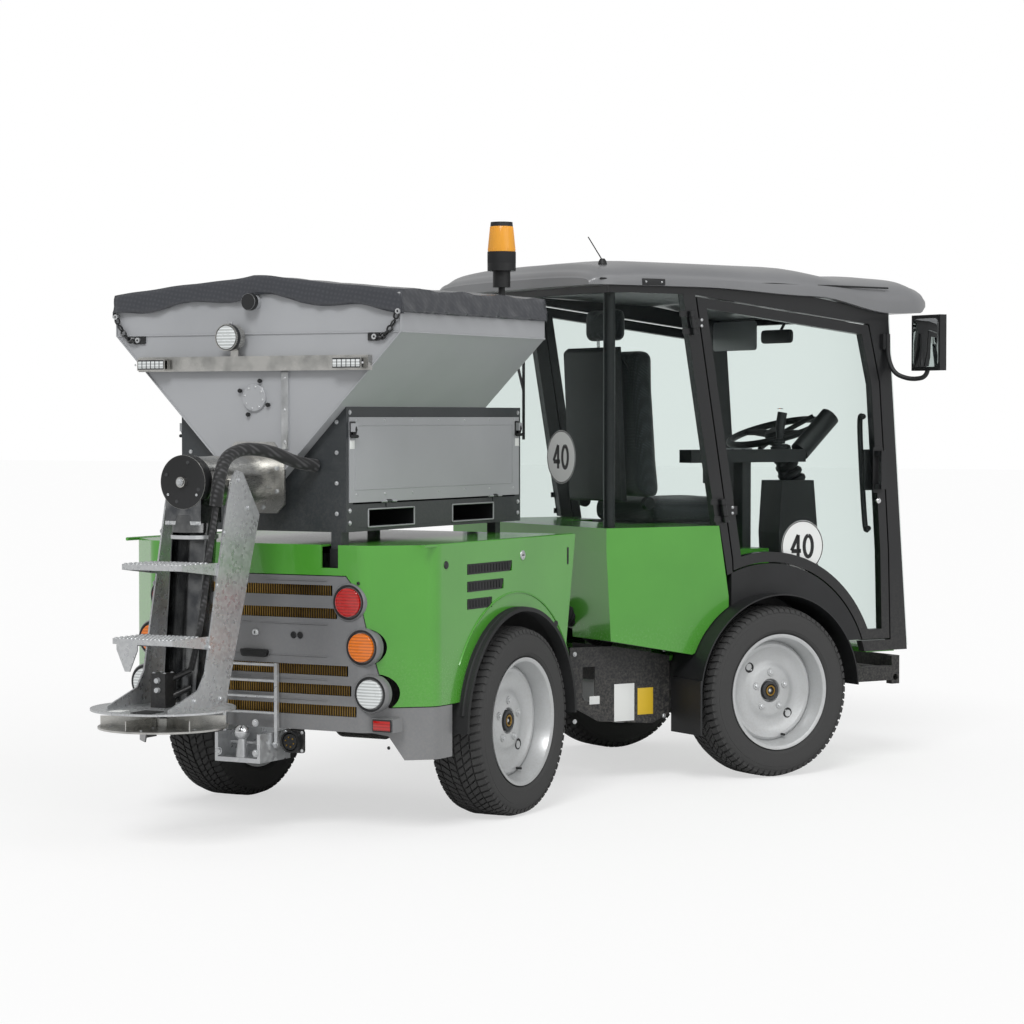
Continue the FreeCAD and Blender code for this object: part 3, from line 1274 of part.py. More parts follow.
SIDE_FRAME = [(1066.0, 1850.0), (1066.0, 1824.0), (1400.0, 1824.0), (1552.0, 961.0), (1570.0, 958.0),
              (1622.0, 690.0), (2200.0, 453.0), (2476.0, 453.0), (2376.0, 1742.0), (2376.0, 1770.0),
              (2000.0, 1828.0), (1460.0, 1850.0)]


def cab_frame():
    """Side frames with their door openings, corner posts and roof cross members."""
    low = P.cab_half - P.cab_sheet
    opening = grown_prism(DOOR, low - 10.0, P.cab_half + 10.0, P.door_gap)
    side = cut(prism("XZ", SIDE_FRAME, low, P.cab_half), opening,
               wheel_clearance(P.door_arch - P.door_gap + P.fit_gap))
    lugs = []
    for centre in HINGES:
        x, y, z = centre
        lugs.append(hinge_tube(centre, -45.0, 45.0, 6.0))
        for start, end in ((-45.0, -23.0), (23.0, 45.0)):
            lugs.append(hinge_tube(centre, start, end, 12.0))
            shift = -0.2077 * (start + end) / 2
            lugs.append(box((x + shift - 48.0, x + shift + 2.0), (P.cab_half, P.cab_half + 6.0),
                            (z + start * 0.96, z + end * 0.96)))
    post = rod("z", (1112.0, 498.0, P.sill_z), 22.0, 1850.0 - P.sill_z)
    left = fuse(side, post, *lugs)
    beams = [box((1086.0, 1130.0), (-low, low), (1824.0, 1850.0)),
             box((2330.0, 2374.0), (-low, low), (1745.0, 1769.0)),
             box((2430.0, 2464.0), (-low, low), (474.0, 494.0))]
    return fuse(left, mirrored(left), *beams)


TUB = [(1060.0, 957.7), (1060.0, 870.0), (1080.0, 542.0), (1444.0, 477.0), (1500.0, 500.0), (1612.0, 640.0),
       (1612.0, 690.0), (1567.0, 957.7)]


def cab_tub():
    """Lower cab: rear corner panels, shelf behind the seat, floor, seat box and front lip."""
    half = P.cab_half
    wall = 5.0
    outer = prism("XZ", TUB, -half, half)
    room = [(1066.0, 925.0), (1086.0, 520.0), (1444.0, 430.0), (1700.0, 430.0), (1700.0, 925.0)]
    inner = prism("XZ", room, -half + wall, half - wall)
    seat_room = box((1380.0, 1700.0), (-P.seat_half - P.run_gap, P.seat_half + P.run_gap),
                    (P.seat_low, 1000.0))
    cylinder_room = box((1040.0, 1170.0), (-300.0, -80.0), (400.0, P.cylinder_z + 45.0))
    shell = cut(outer, inner, wheel_clearance(P.fender_radius + P.seam), seat_room, cylinder_room)
    floor_low = P.front_rail_high + P.fit_gap
    floor_z = (floor_low, floor_low + P.floor_sheet)
    floor = box((1430.0, 2320.0), (-P.axle_end, P.axle_end), floor_z)
    lip = prism("XY", [(2300.0, -524.0), (2440.0, -524.0), (2520.0, -300.0), (2552.0, 0.0), (2520.0, 300.0),
                       (2440.0, 524.0), (2300.0, 524.0)], floor_z[0], floor_z[1])
    seat_box = box((1480.0, 1900.0), (-P.seat_half, P.seat_half), (floor_z[1], P.seat_low))
    side_consoles = pair_of_boxes((1480.0, 1900.0), P.seat_half, 424.0, (700.0, 860.0))
    return fuse(shell, floor, lip, seat_box, *side_consoles)


def rounded_room(grow, low, high):
    """A block with rounded upright corners that follows the rear glass."""
    x_range = (P.cab_rear - grow, 2100.0)
    half = P.cab_half - 4.0 + grow
    points = [(x_range[0], -half), (x_range[1], -half), (x_range[1], half), (x_range[0], half)]
    body = prism("XY", points, low, high)
    doc.recompute()
    return round_upright(body, 120.0 + grow, 1500.0)


def rear_window():
    """Wrap-round rear glass, from one centre pillar round the back to the other."""
    low = P.sill_z + P.fit_gap
    high = 1823.7
    band = cut(rounded_room(0.0, low, high), rounded_room(-P.glass, low - 10.0, high + 10.0))
    ahead = prism("XZ", [(1399.7, 1900.0), (1399.7, 1824.0), (1551.7, 961.0), (1551.7, 900.0), (2300.0, 900.0),
                         (2300.0, 1900.0)], -800.0, 800.0)
    return cut(band, ahead)


def windscreen():
    """Bowed windscreen, a ruled band between its lower and upper edges."""
    half = P.cab_half.value - 4.0
    bow = P.screen_bow.value
    glass = P.glass.value
    wires = []
    for level, edge_x in ((P.screen_low.value, 2475.3), (P.screen_high.value, 2376.3)):
        def arc(x):
            return Part.Arc(V(x, -half, level), V(x + bow, 0, level), V(x, half, level)).toShape()
        inner, outer = arc(edge_x), arc(edge_x + glass)
        ends = [Part.makeLine(V(edge_x, y, level), V(edge_x + glass, y, level)) for y in (-half, half)]
        wires.append(Part.Wire([inner, ends[1], outer, ends[0]]))
    return free_shape("screen", Part.makeLoft(wires, True, True))


ROOF = [(1000.0, 1905.0), (1060.0, 1943.0), (1250.0, 1960.0), (1900.0, 1958.0), (2180.0, 1925.0),
        (2330.0, 1932.0)]


def cab_roof():
    """Roof moulding with its drooping sides and front visor."""
    front = P.roof_front
    under = [(front, 1800.0), (front - 60.0, 1774.0), (2376.0, 1770.3), (2000.0, 1828.3), (1460.0, 1850.3),
             (P.roof_rear, 1850.3)]
    profile = ROOF + [(front - 40.0, 1935.0), (front, 1905.0)] + under
    side = prism("XZ", profile, -P.roof_half, P.roof_half)
    half = P.roof_half
    plan = [(P.roof_rear, -430.0), (1085.0, -half + 10.0), (1460.0, -half), (2300.0, -half + 20.0),
            (2500.0, -470.0), (front, -330.0), (front, 330.0), (2500.0, 470.0), (2300.0, half - 20.0),
            (1460.0, half), (1085.0, half - 10.0), (P.roof_rear, 430.0)]
    return common(side, prism("XY", plan, 1700.0, 2000.0))


def cab_mirrors():
    """Outside mirrors on bent tube arms."""
    path = [(2362.0, 574.0, 1690.0), (2362.0, 574.0, 1600.0), (2372.0, 600.0, 1535.0), (2410.0, 655.0, 1512.0),
            (2440.0, 712.0, 1520.0), (2446.0, 720.0, 1575.0)]
    arm = tube_along(path, 9.0, "mirror arm")
    lug = Part.makeBox(32.0, 13.7, 60.0, V(2340.0, P.cab_half.value + 0.3, 1630.0))
    head = Part.makeBox(32.0, 170.0, 215.0, V(2430.0, 635.0, 1546.0))
    left = arm.fuse([lug, head]).removeSplitter()
    right = left.mirror(V(0, 0, 0), V(0, 1, 0))
    return free_shape("mirrors", Part.makeCompound([left, right]))


def driver_seat():
    """Seat cushion, backrest and head restraint, soft solids."""
    half = P.seat_half - 5.0
    low = P.seat_low + P.fit_gap
    cushion = prism("XZ", [(1490.0, low), (1960.0, low), (1970.0, 1000.0), (1940.0, 1050.0),
                           (1500.0, 1040.0)], -half, half)
    back = prism("XZ", [(1440.0, 1034.0), (1545.0, 1034.0), (1500.0, 1350.0), (1470.0, 1640.0),
                        (1400.0, 1640.0), (1405.0, 1350.0)], -half + 10.0, half - 10.0)
    head = prism("XZ", [(1375.0, 1650.0), (1455.0, 1650.0), (1450.0, 1795.0), (1380.0, 1795.0)], -120.0, 120.0)
    neck = prism("XZ", [(1405.0, 1640.0), (1425.0, 1640.0), (1425.0, 1650.0), (1405.0, 1650.0)], -60.0, 60.0)
    return fuse(cushion, back, neck, head)


def steering_console():
    """Steering column with its wheel, and the armrest with display."""
    low = P.front_rail_high + P.floor_sheet + P.fit_gap * 2
    column = prism("XZ", [(2240.0, low), (2420.0, low), (2410.0, 900.0), (2390.0, 1110.0),
                          (2230.0, 1110.0), (2215.0, 900.0)], -70.0, 70.0)
    stem = rod_between((2300.0, 0.0, 1100.0), (2241.0, 0.0, 1303.0), 22.0)
    wheel = free_shape("steering wheel rim",
                       Part.makeTorus(185.0, 14.0, V(2240.0, 0.0, 1305.0), V(-0.28, 0.0, 0.96)))
    spoke = rod_between((2240.0, -180.0, 1303.0), (2240.0, 180.0, 1303.0), 12.0)
    armrest = box((1600.0, 2150.0), (-330.0, -250.0), (1190.0, 1240.0))
    display = rod_between((2150.0, -290.0, 1230.0), (2300.0, -290.0, 1370.0), 40.0)
    bracket = box((1850.0, 1890.0), (-320.0, -260.0), (860.3, 1190.0))
    return group(fuse(column, stem, wheel, spoke), fuse(armrest, display, bracket))


# ---------------------------------------------------------------------------------------------
# Assembly
# ---------------------------------------------------------------------------------------------
def build_rear():
    """Make the sub-parts that ride on the rear section."""
    sub_part("rear_chassis", rear_chassis(), REAR)
    sub_part("rear_axle", axle(0.0, P.rail_inner), REAR)
    sub_part("engine_block", engine_block(), REAR)
    sub_part("rear_body_shell", rear_body_shell(), REAR)
    sub_part("rear_grille_panel", rear_panel(), REAR)
    sub_part("rear_lamps", rear_lamps(), REAR)
    sub_part("rear_arch_liners", arch_liners(), REAR)
    sub_part("rear_hitch", rear_hitch(), REAR)
    sub_part("fold_up_step", fold_up_step(), REAR)
    sub_part("spreader_fork_frame", fork_frame(), REAR)
    sub_part("spreader_fork_pockets", group(*fork_pockets()), REAR)
    sub_part("spreader_side_plates", group(*side_plates()), REAR)
    sub_part("spreader_base_frame", base_frame(), REAR)
    sub_part("spreader_cover_left", group(side_cover()), REAR)
    sub_part("spreader_cover_right", mirrored(side_cover()), REAR)
    sub_part("hopper", hopper(), REAR)
    sub_part("hopper_tarp", hopper_cover(), REAR)
    sub_part("rear_light_bar", light_bar(), REAR)
    sub_part("auger_tube", auger_tube(), REAR)
    sub_part("auger_hose_sleeve", auger_hoses(), REAR)
    sub_part("salt_chute", chute(), REAR)
    sub_part("disc_carrier", disc_carrier(), REAR)
    sub_part("spreader_steps", spreader_steps(), REAR)
    sub_part("disc_motor", disc_motor(), REAR)
    sub_part("spinner_disc", spinner_disc(), REAR)
    sub_part("warning_beacon", warning_beacon(), REAR)
    sub_part("steering_cylinder_barrel", steering_barrel(), REAR)
    sub_part("steering_cylinder_rod", steering_rod(), REAR)
    build_wheels("rear", 0.0, REAR)


def build_wheels(end, centre_x, section):
    """Make the tyres and rims of one axle."""
    sub_part("tyre_%s_left" % end, group(tyre(centre_x)), section)
    sub_part("tyre_%s_right" % end, mirrored(tyre(centre_x)), section)
    sub_part("rim_%s_left" % end, group(rim(centre_x)), section)
    sub_part("rim_%s_right" % end, mirrored(rim(centre_x)), section)


def build_front():
    """Make the sub-parts that ride on the front section."""
    sub_part("front_chassis", front_chassis(), FRONT)
    sub_part("front_axle", axle(P.front_axle_x, P.front_rail_inner), FRONT)
    sub_part("front_lift_arms", lift_arms(), FRONT)
    sub_part("front_mudguards", mudguards(), FRONT)
    sub_part("cab_frame", cab_frame(), FRONT)
    sub_part("cab_tub", cab_tub(), FRONT)
    sub_part("cab_roof", cab_roof(), FRONT)
    sub_part("windscreen", windscreen(), FRONT)
    sub_part("rear_window", rear_window(), FRONT)
    sub_part("door_left", group(door_frame()), FRONT)
    sub_part("door_right", mirrored(door_frame()), FRONT)
    sub_part("door_glass_left", group(door_glass()), FRONT)
    sub_part("door_glass_right", mirrored(door_glass()), FRONT)
    sub_part("cab_mirrors", cab_mirrors(), FRONT)
    sub_part("driver_seat", driver_seat(), FRONT)
    sub_part("steering_console", steering_console(), FRONT)
    build_wheels("front", P.front_axle_x, FRONT)


def check_and_export():
    """Recompute, stop on any failure, then write each sub-part."""
    doc.recompute()
    for obj in doc.Objects:
        faults = [state for state in obj.State if state in ("Invalid", "Error")]
        if faults:
            raise RuntimeError("%s (%s) is %s" % (obj.Label, obj.TypeId, faults))
    for obj in SUB_PARTS:
        shape = obj.Shape
        if shape.isNull() or not shape.isValid() or shape.Volume <= 0:
            raise RuntimeError("%s has no valid shape" % obj.Label)
        print("%-26s solids %2d  volume %8.2f l" % (obj.Label, len(shape.Solids), shape.Volume / 1e6))
    os.makedirs("parts", exist_ok=True)
    for obj in SUB_PARTS:
        obj.Shape.exportStep("parts/%s.step" % obj.Label)


build_rear()
build_front()
check_and_export()
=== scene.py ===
"""Looks of an articulated compact implement carrier with a hopper spreader on its rear deck.

Every piece is modelled in the straight frame of the section that carries it (metres, X forward,
Y left, Z up, rear axle over X = 0) and then set into the parked machine by that section.
"""
import json
import logging
import math
from dataclasses import dataclass
from enum import Enum
from typing import Callable, Iterable, Optional, Sequence

import bmesh
import bpy
from mathutils import Matrix, Quaternion, Vector


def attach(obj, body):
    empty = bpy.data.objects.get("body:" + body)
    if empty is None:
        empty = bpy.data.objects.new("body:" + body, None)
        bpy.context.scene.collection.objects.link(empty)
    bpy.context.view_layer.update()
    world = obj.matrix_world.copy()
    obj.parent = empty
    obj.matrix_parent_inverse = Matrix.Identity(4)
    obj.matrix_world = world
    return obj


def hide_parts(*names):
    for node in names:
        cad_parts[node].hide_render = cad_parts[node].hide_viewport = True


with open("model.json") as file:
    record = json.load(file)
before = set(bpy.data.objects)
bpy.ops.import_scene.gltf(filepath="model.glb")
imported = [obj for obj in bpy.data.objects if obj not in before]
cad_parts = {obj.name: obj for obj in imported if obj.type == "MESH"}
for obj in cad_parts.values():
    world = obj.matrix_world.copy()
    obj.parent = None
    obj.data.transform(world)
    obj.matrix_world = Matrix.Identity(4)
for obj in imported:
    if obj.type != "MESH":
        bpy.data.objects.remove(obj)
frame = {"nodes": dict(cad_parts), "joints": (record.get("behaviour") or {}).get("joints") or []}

LOG = logging.getLogger("carrier")
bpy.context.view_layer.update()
MM = 0.001
Tree = bpy.types.NodeTree
Node = bpy.types.Node
Point = Sequence[float]
Points = Sequence[Point]
# The pivot ahead of the rear axle, in either section's straight frame.
PIVOT_AHEAD = 0.893
# Faces of a block whose eight corners run through Z, then Y, then X.
BLOCK_FACES = [(0, 1, 3, 2), (4, 6, 7, 5), (0, 4, 5, 1), (2, 3, 7, 6), (0, 2, 6, 4), (1, 5, 7, 3)]
# How far a label stands off what it is stuck to.
LABEL = 0.0006


# ---- Where the sections stand ----
def joint(name: str) -> dict:
    """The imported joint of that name."""
    return next(j for j in frame["joints"] if j["name"] == name)


def rear_matrix() -> Matrix:
    """From the rear section's straight frame to the parked machine."""
    pivot = joint("articulation")["pos_m"]
    return Matrix.Translation((pivot[0] - PIVOT_AHEAD, pivot[1], 0.0))


def front_matrix() -> Matrix:
    """From the front section's straight frame to the parked machine."""
    pivot = joint("articulation")["pos_m"]
    across = joint("wheel_front_left_spin")["axis"]
    turn = Matrix.Rotation(math.atan2(-across[0], across[1]), 4, "Z")
    return Matrix.Translation((pivot[0], pivot[1], 0.0)) @ turn @ Matrix.Translation((-PIVOT_AHEAD, 0.0, 0.0))


class Section(Enum):
    """The two halves of the machine, each with its straight frame."""

    REAR = "rear_section"
    FRONT = "front_section"

    @property
    def matrix(self) -> Matrix:
        """The section's place in the parked machine."""
        return rear_matrix() if self is Section.REAR else front_matrix()


# ---- Finishes ----
def linear(hex_colour: str) -> tuple[float, float, float, float]:
    """An sRGB hex colour as linear RGBA.

    Args:
        hex_colour: Six hex digits.

    Returns:
        Red, green, blue and an alpha of 1.
    """
    parts = [int(hex_colour[i:i + 2], 16) / 255.0 for i in (0, 2, 4)]
    low = [p / 12.92 if p <= 0.04045 else ((p + 0.055) / 1.055) ** 2.4 for p in parts]
    return (low[0], low[1], low[2], 1.0)


def add_node(
    tree: Tree, kind: str, settings: Optional[dict] = None, links: Optional[dict] = None,
    feeds: Optional[tuple] = None) -> Node:
    """Add a shader node.

    Args:
        tree: The node tree.
        kind: The node's type name without its prefix.
        settings: Socket values (by name or index), attributes ("@name") or colour stops ("stops").
        links: Input socket to (node, output name or index).
        feeds: The (node, input) that its first output goes to.

    Returns:
        The new node.
    """
    node = tree.nodes.new("ShaderNode" + kind)
    for key, value in (settings or {}).items():
        if key == "stops":
            while len(node.color_ramp.elements) < len(value):
                node.color_ramp.elements.new(0.5)
            for element, (position, colour) in zip(node.color_ramp.elements, value):
                element.position = position
                element.color = colour
        elif isinstance(key, str) and key.startswith("@"):
            setattr(node, key[1:], value)
        else:
            node.inputs[key].default_value = value
    for key, (source, output) in (links or {}).items():
        tree.links.new(source.outputs[output], node.inputs[key])
    if feeds:
        tree.links.new(node.outputs[0], feeds[0].inputs[feeds[1]])
    return node


@dataclass(frozen=True)
class Finish:
    """A finish's plain numbers; the sub-classes add what the surface shows."""

    name: str
    colour: str
    roughness: float = 0.5
    metallic: float = 0.0

    def shade(self, tree: Tree, shader: Node, place: Node) -> None:
        """Add this finish's own nodes."""

    def build(self) -> bpy.types.Material:
        """The material, made once.

        Returns:
            A Blender material with procedural nodes.
        """
        made = bpy.data.materials.get(self.name)
        if made:
            return made
        material = bpy.data.materials.new(self.name)
        material.use_nodes = True
        tree = material.node_tree
        tree.nodes.clear()
        shader = add_node(
            tree, "BsdfPrincipled",
            {"Base Color": linear(self.colour), "Roughness": self.roughness, "Metallic": self.metallic})
        place = add_node(tree, "TexCoord")
        self.shade(tree, shader, place)
        output = add_node(tree, "OutputMaterial")
        tree.links.new(self.surface(tree, shader).outputs[0], output.inputs["Surface"])
        return material

    def surface(self, tree: Tree, shader: Node) -> Node:
        """The node that the output shows."""
        return shader


def scale_for(size_mm: float) -> float:
    """A texture scale whose features are about that many millimetres, in metre coordinates."""
    return 1000.0 / size_mm


@dataclass(frozen=True)
class Coated(Finish):
    """Sprayed or powder-coated steel, or a gloss moulding: an even colour under a clear skin."""

    darker: str = "000000"
    coat: float = 0.0
    peel_mm: float = 1.6
    peel_depth_mm: float = 0.04
    dust: float = 0.0
    dust_top: float = 1.0

    def shade(self, tree: Tree, shader: Node, place: Node) -> None:
        """Slow colour drift, dust low down and the skin's fine peel."""
        at = {"Vector": (place, "Object")}
        shader.inputs["Coat Weight"].default_value = self.coat
        shader.inputs["Coat Roughness"].default_value = 0.06
        drift = add_node(tree, "TexNoise", {"Scale": scale_for(420.0), "Detail": 4.0}, at)
        base = add_node(
            tree, "ValToRGB", {"stops": [(0.3, linear(self.darker)), (0.62, linear(self.colour))]},
            {0: (drift, 0)})
        specks = add_node(tree, "TexNoise", {"Scale": scale_for(9.0), "Detail": 6.0, "Roughness": 0.7}, at)
        height = add_node(tree, "SeparateXYZ", {}, {0: (place, "Object")})
        low_down = add_node(
            tree, "MapRange", {1: self.dust_top, 2: 0.15, 3: 0.0, 4: self.dust}, {0: (height, "Z")})
        spread = add_node(tree, "MapRange", {1: 0.42, 2: 0.75, 3: 0.0, 4: 1.0}, {0: (specks, 0)})
        amount = add_node(tree, "Math", {"@operation": "MULTIPLY"}, {0: (low_down, 0), 1: (spread, 0)})
        mix = add_node(
            tree, "Mix", {"@data_type": "RGBA", 7: linear("9a958b")}, {0: (amount, 0), 6: (base, 0)})
        tree.links.new(mix.outputs[2], shader.inputs["Base Color"])
        matt = add_node(tree, "MapRange", {1: 0.0, 2: 1.0, 3: self.roughness, 4: 0.85}, {0: (amount, 0)})
        tree.links.new(matt.outputs[0], shader.inputs["Roughness"])
        peel = add_node(tree, "TexNoise", {"Scale": scale_for(self.peel_mm), "Detail": 2.0}, at)
        add_node(
            tree, "Bump", {"Strength": 0.35, "Distance": self.peel_depth_mm * MM}, {"Height": (peel, 0)},
            (shader, "Normal"))


@dataclass(frozen=True)
class Grained(Finish):
    """Injection-moulded plastic or rubber with a fine leather-like grain."""

    lighter: str = "303030"
    grain_mm: float = 2.2
    depth_mm: float = 0.15
    dusty: bool = False

    def shade(self, tree: Tree, shader: Node, place: Node) -> None:
        """Grain cells, faded high spots and pale road dust in the relief."""
        at = {"Vector": (place, "Object")}
        cells = add_node(tree, "TexVoronoi", {"Scale": scale_for(self.grain_mm)}, at)
        drift = add_node(
            tree, "TexNoise", {"Scale": scale_for(60.0 if self.dusty else 260.0), "Detail": 6.0}, at)
        add_node(
            tree, "ValToRGB", {"stops": [(0.38, linear(self.colour)), (0.72, linear(self.lighter))]},
            {0: (drift, 0)}, (shader, "Base Color"))
        add_node(
            tree, "Bump", {"Strength": 0.5, "Distance": self.depth_mm * MM}, {"Height": (cells, 0)},
            (shader, "Normal"))


@dataclass(frozen=True)
class Galvanised(Finish):
    """Hot-dip zinc: crystals of slightly different greys, dull between them."""

    spangle_mm: float = 14.0
    dark: str = "8d9092"

    def shade(self, tree: Tree, shader: Node, place: Node) -> None:
        """Crystal patches in colour and roughness with a faint relief."""
        at = {"Vector": (place, "Object")}
        cells = add_node(tree, "TexVoronoi", {"Scale": scale_for(self.spangle_mm)}, at)
        grey = add_node(tree, "RGBToBW", {}, {0: (cells, "Color")})
        add_node(
            tree, "ValToRGB", {"stops": [(0.2, linear(self.dark)), (0.8, linear(self.colour))]},
            {0: (grey, 0)}, (shader, "Base Color"))
        rough = add_node(
            tree, "MapRange", {1: 0.0, 2: 1.0, 3: self.roughness - 0.1, 4: self.roughness + 0.15},
            {0: (grey, 0)})
        tree.links.new(rough.outputs[0], shader.inputs["Roughness"])
        stain = add_node(tree, "TexNoise", {"Scale": scale_for(3.0), "Detail": 5.0}, at)
        add_node(
            tree, "Bump", {"Strength": 0.12, "Distance": 0.1 * MM}, {"Height": (stain, 0)},
            (shader, "Normal"))


@dataclass(frozen=True)
class Brushed(Finish):
    """Ground stainless or aluminium: fine lines along one axis."""

    along: tuple[float, float, float] = (1.0, 40.0, 40.0)
    dark: str = "8a8a88"

    def shade(self, tree: Tree, shader: Node, place: Node) -> None:
        """Stretched noise for the grinding lines, cloudy patches for handling marks."""
        at = {"Vector": (place, "Object")}
        stretch = add_node(tree, "Mapping", {"Scale": self.along}, at)
        lines = add_node(
            tree, "TexNoise", {"Scale": scale_for(26.0), "Detail": 4.0}, {"Vector": (stretch, 0)})
        clouds = add_node(tree, "TexNoise", {"Scale": scale_for(70.0), "Detail": 5.0}, at)
        add_node(
            tree, "ValToRGB", {"stops": [(0.35, linear(self.dark)), (0.6, linear(self.colour))]},
            {0: (clouds, 0)}, (shader, "Base Color"))
        rough = add_node(
            tree, "MapRange", {1: 0.3, 2: 0.7, 3: self.roughness - 0.08, 4: self.roughness + 0.14},
            {0: (lines, 0)})
        tree.links.new(rough.outputs[0], shader.inputs["Roughness"])
        add_node(
            tree, "Bump", {"Strength": 0.3, "Distance": 0.05 * MM}, {"Height": (lines, 0)},
            (shader, "Normal"))


@dataclass(frozen=True)
class Woven(Finish):
    """Cloth or braid: two crossing thread waves."""

    thread_mm: float = 3.0
    light: str = "3a3a3c"
    depth_mm: float = 0.5
    sheen: float = 0.2

    def shade(self, tree: Tree, shader: Node, place: Node) -> None:
        """Crossed threads in colour and relief."""
        at = {"Vector": (place, "Object")}
        shader.inputs["Sheen Weight"].default_value = self.sheen
        waves = []
        for turn in (math.radians(45.0), math.radians(-45.0)):
            spun = add_node(tree, "Mapping", {"Rotation": (turn, turn, turn)}, at)
            waves.append(add_node(
                tree, "TexWave",
                {"Scale": scale_for(self.thread_mm) / 6.3, "Distortion": 0.6, "@wave_profile": "SIN"},
                {"Vector": (spun, 0)}))
        both = add_node(tree, "Math", {"@operation": "MULTIPLY"}, {0: (waves[0], 1), 1: (waves[1], 1)})
        add_node(
            tree, "ValToRGB", {"stops": [(0.1, linear(self.colour)), (0.9, linear(self.light))]},
            {0: (both, 0)}, (shader, "Base Color"))
        add_node(
            tree, "Bump", {"Strength": 0.6, "Distance": self.depth_mm * MM}, {"Height": (both, 0)},
            (shader, "Normal"))


@dataclass(frozen=True)
class Coloured(Finish):
    """Clear coloured plastic of a lamp, ribbed on its inside."""

    rib_mm: float = 5.0
    painted_glow: float = 0.12

    def shade(self, tree: Tree, shader: Node, place: Node) -> None:
        """Ribs under a wet-looking skin, with painted shade in the rib troughs and a faint emission as
        painted glow.
        """
        at = {"Vector": (place, "Object")}
        shader.inputs["Coat Weight"].default_value = 0.8
        shader.inputs["Coat Roughness"].default_value = 0.03
        # Painted glow: the lens gives off a little light of its own colour.
        shader.inputs["Emission Color"].default_value = linear(self.colour)
        shader.inputs["Emission Strength"].default_value = self.painted_glow
        ribs = add_node(tree, "TexWave", {"Scale": scale_for(self.rib_mm) / 6.3, "@bands_direction": "Z"}, at)
        # Painted shade: the rib troughs take a colour 0.55 times as bright as the lens.
        shade = tuple(0.55 * c for c in linear(self.colour)[:3]) + (1.0,)
        add_node(
            tree, "ValToRGB", {"stops": [(0.0, shade), (1.0, linear(self.colour))]}, {0: (ribs, 1)},
            (shader, "Base Color"))
        add_node(
            tree, "Bump", {"Strength": 0.3, "Distance": 0.4 * MM}, {"Height": (ribs, 1)},
            (shader, "Normal"))


@dataclass(frozen=True)
class SafetyGlass(Finish):
    """Toughened tinted glass: mostly see-through, with a clear reflection towards its edge."""

    haze: float = 0.02

    def surface(self, tree: Tree, shader: Node) -> Node:
        """See-through tint mixed with a mirror skin that grows towards a grazing view."""
        shader.inputs["Roughness"].default_value = 0.02
        shader.inputs["Base Color"].default_value = linear("2a3236")
        clear = add_node(tree, "BsdfTransparent", {"Color": linear(self.colour)})
        facing = add_node(tree, "LayerWeight", {"Blend": 0.5})
        edge = add_node(tree, "Math", {"@operation": "POWER", 1: 4.0}, {0: (facing, "Facing")})
        more = add_node(tree, "Math", {"@operation": "MULTIPLY_ADD", 1: 0.55, 2: self.haze}, {0: (edge, 0)})
        return add_node(tree, "MixShader", {}, {0: (more, 0), 1: (clear, 0), 2: (shader, 0)})


# Gloss acrylonitrile moulding, lime green: a wet-looking clear skin with a faint peel.
GREEN = Coated("moulded_green_gloss", "4f9c34", 0.26, darker="48922f", coat=0.6, dust=0.2, dust_top=0.7)
# The same moulding in warm grey, dustier low down.
PANEL_GREY = Coated("moulded_grey_gloss", "77787a", 0.32, darker="6c6d6f", coat=0.4, dust=0.3, dust_top=0.9)
# Roof moulding, sprayed the panel's grey: softer reflections than the hood.
ROOF_GREY = Coated("moulded_roof_grey", "7c7d7f", 0.34, darker="737476", coat=0.4)
# Light-grey polyester powder coat: even, slightly textured, a little salt dust.
BASE_GREY = Coated(
    "powder_coated_light_grey", "a7a9ac", 0.38, darker="9fa1a4", coat=0.15, dust=0.15, dust_top=1.5)
# Anthracite powder coat: dark, low gloss.
ANTHRACITE = Coated(
    "powder_coated_anthracite", "33373a", 0.42, darker="2c3032", coat=0.15, dust=0.3, dust_top=1.4)
# Satin black paint on steel tube.
BLACK_STEEL = Coated("satin_black_steel", "141517", 0.36, darker="101113", coat=0.25, dust=0.2, dust_top=0.8)
# Chassis paint: duller, with road dirt.
CHASSIS = Coated("chassis_black_paint", "1d1e21", 0.48, darker="17181a", coat=0.1, dust=0.4, dust_top=0.9)
# Wheel lacquer: fine metallic silver that greys at the bottom.
SILVER = Coated("silver_wheel_paint", "c2c4c5", 0.34, 0.3, darker="b2b4b5", coat=0.3, dust=0.3, dust_top=0.9)
# Sand casting under paint: coarse skin.
CASTING = Coated("painted_casting", "3a3b3d", 0.6, darker="303133", peel_mm=3.0, peel_depth_mm=0.3)
# Injection-moulded black polypropylene with a leather-like grain.
BLACK_PLASTIC = Grained("grained_black_plastic", "141516", 0.5, lighter="202123")
# Compression-moulded rubber: matt, greyer where it has bloomed.
LINER_RUBBER = Grained("moulded_rubber", "18191a", 0.7, lighter="272829")
# Tread rubber: matt black with pale dust in it.
TYRE_RUBBER = Grained(
    "tyre_rubber", "171819", 0.72, lighter="2b2b29", grain_mm=3.0, depth_mm=0.12, dusty=True)
# Hot-dip zinc on thick steel: bright grey with faint crystals.
ZINC = Galvanised("hot_dip_zinc", "d0d2d3", 0.34, 0.7, dark="c2c4c6")
# Pre-galvanised sheet: smoother, small crystals.
ZINC_SHEET = Galvanised("zinc_sheet", "cbcdce", 0.32, 0.7, spangle_mm=9.0, dark="bdbfc1")
# Ground stainless: bright with fine lines and handling marks.
STAINLESS = Brushed("ground_stainless", "cdccc8", 0.26, 1.0, dark="a8a8a5")
# Bright-rolled stainless tube with smears, nearly mirror-like; its colour and the smears are darkened as
# painted shade and painted reflection of its place behind the steps.
POLISHED = Brushed("polished_stainless_painted_shade", "8a8b8b", 0.16, 1.0, dark="55575a")
# Anodised extrusion: pale satin.
ALUMINIUM = Brushed("anodised_aluminium", "cfd1d2", 0.33, 1.0, along=(40.0, 40.0, 1.0), dark="b3b5b6")
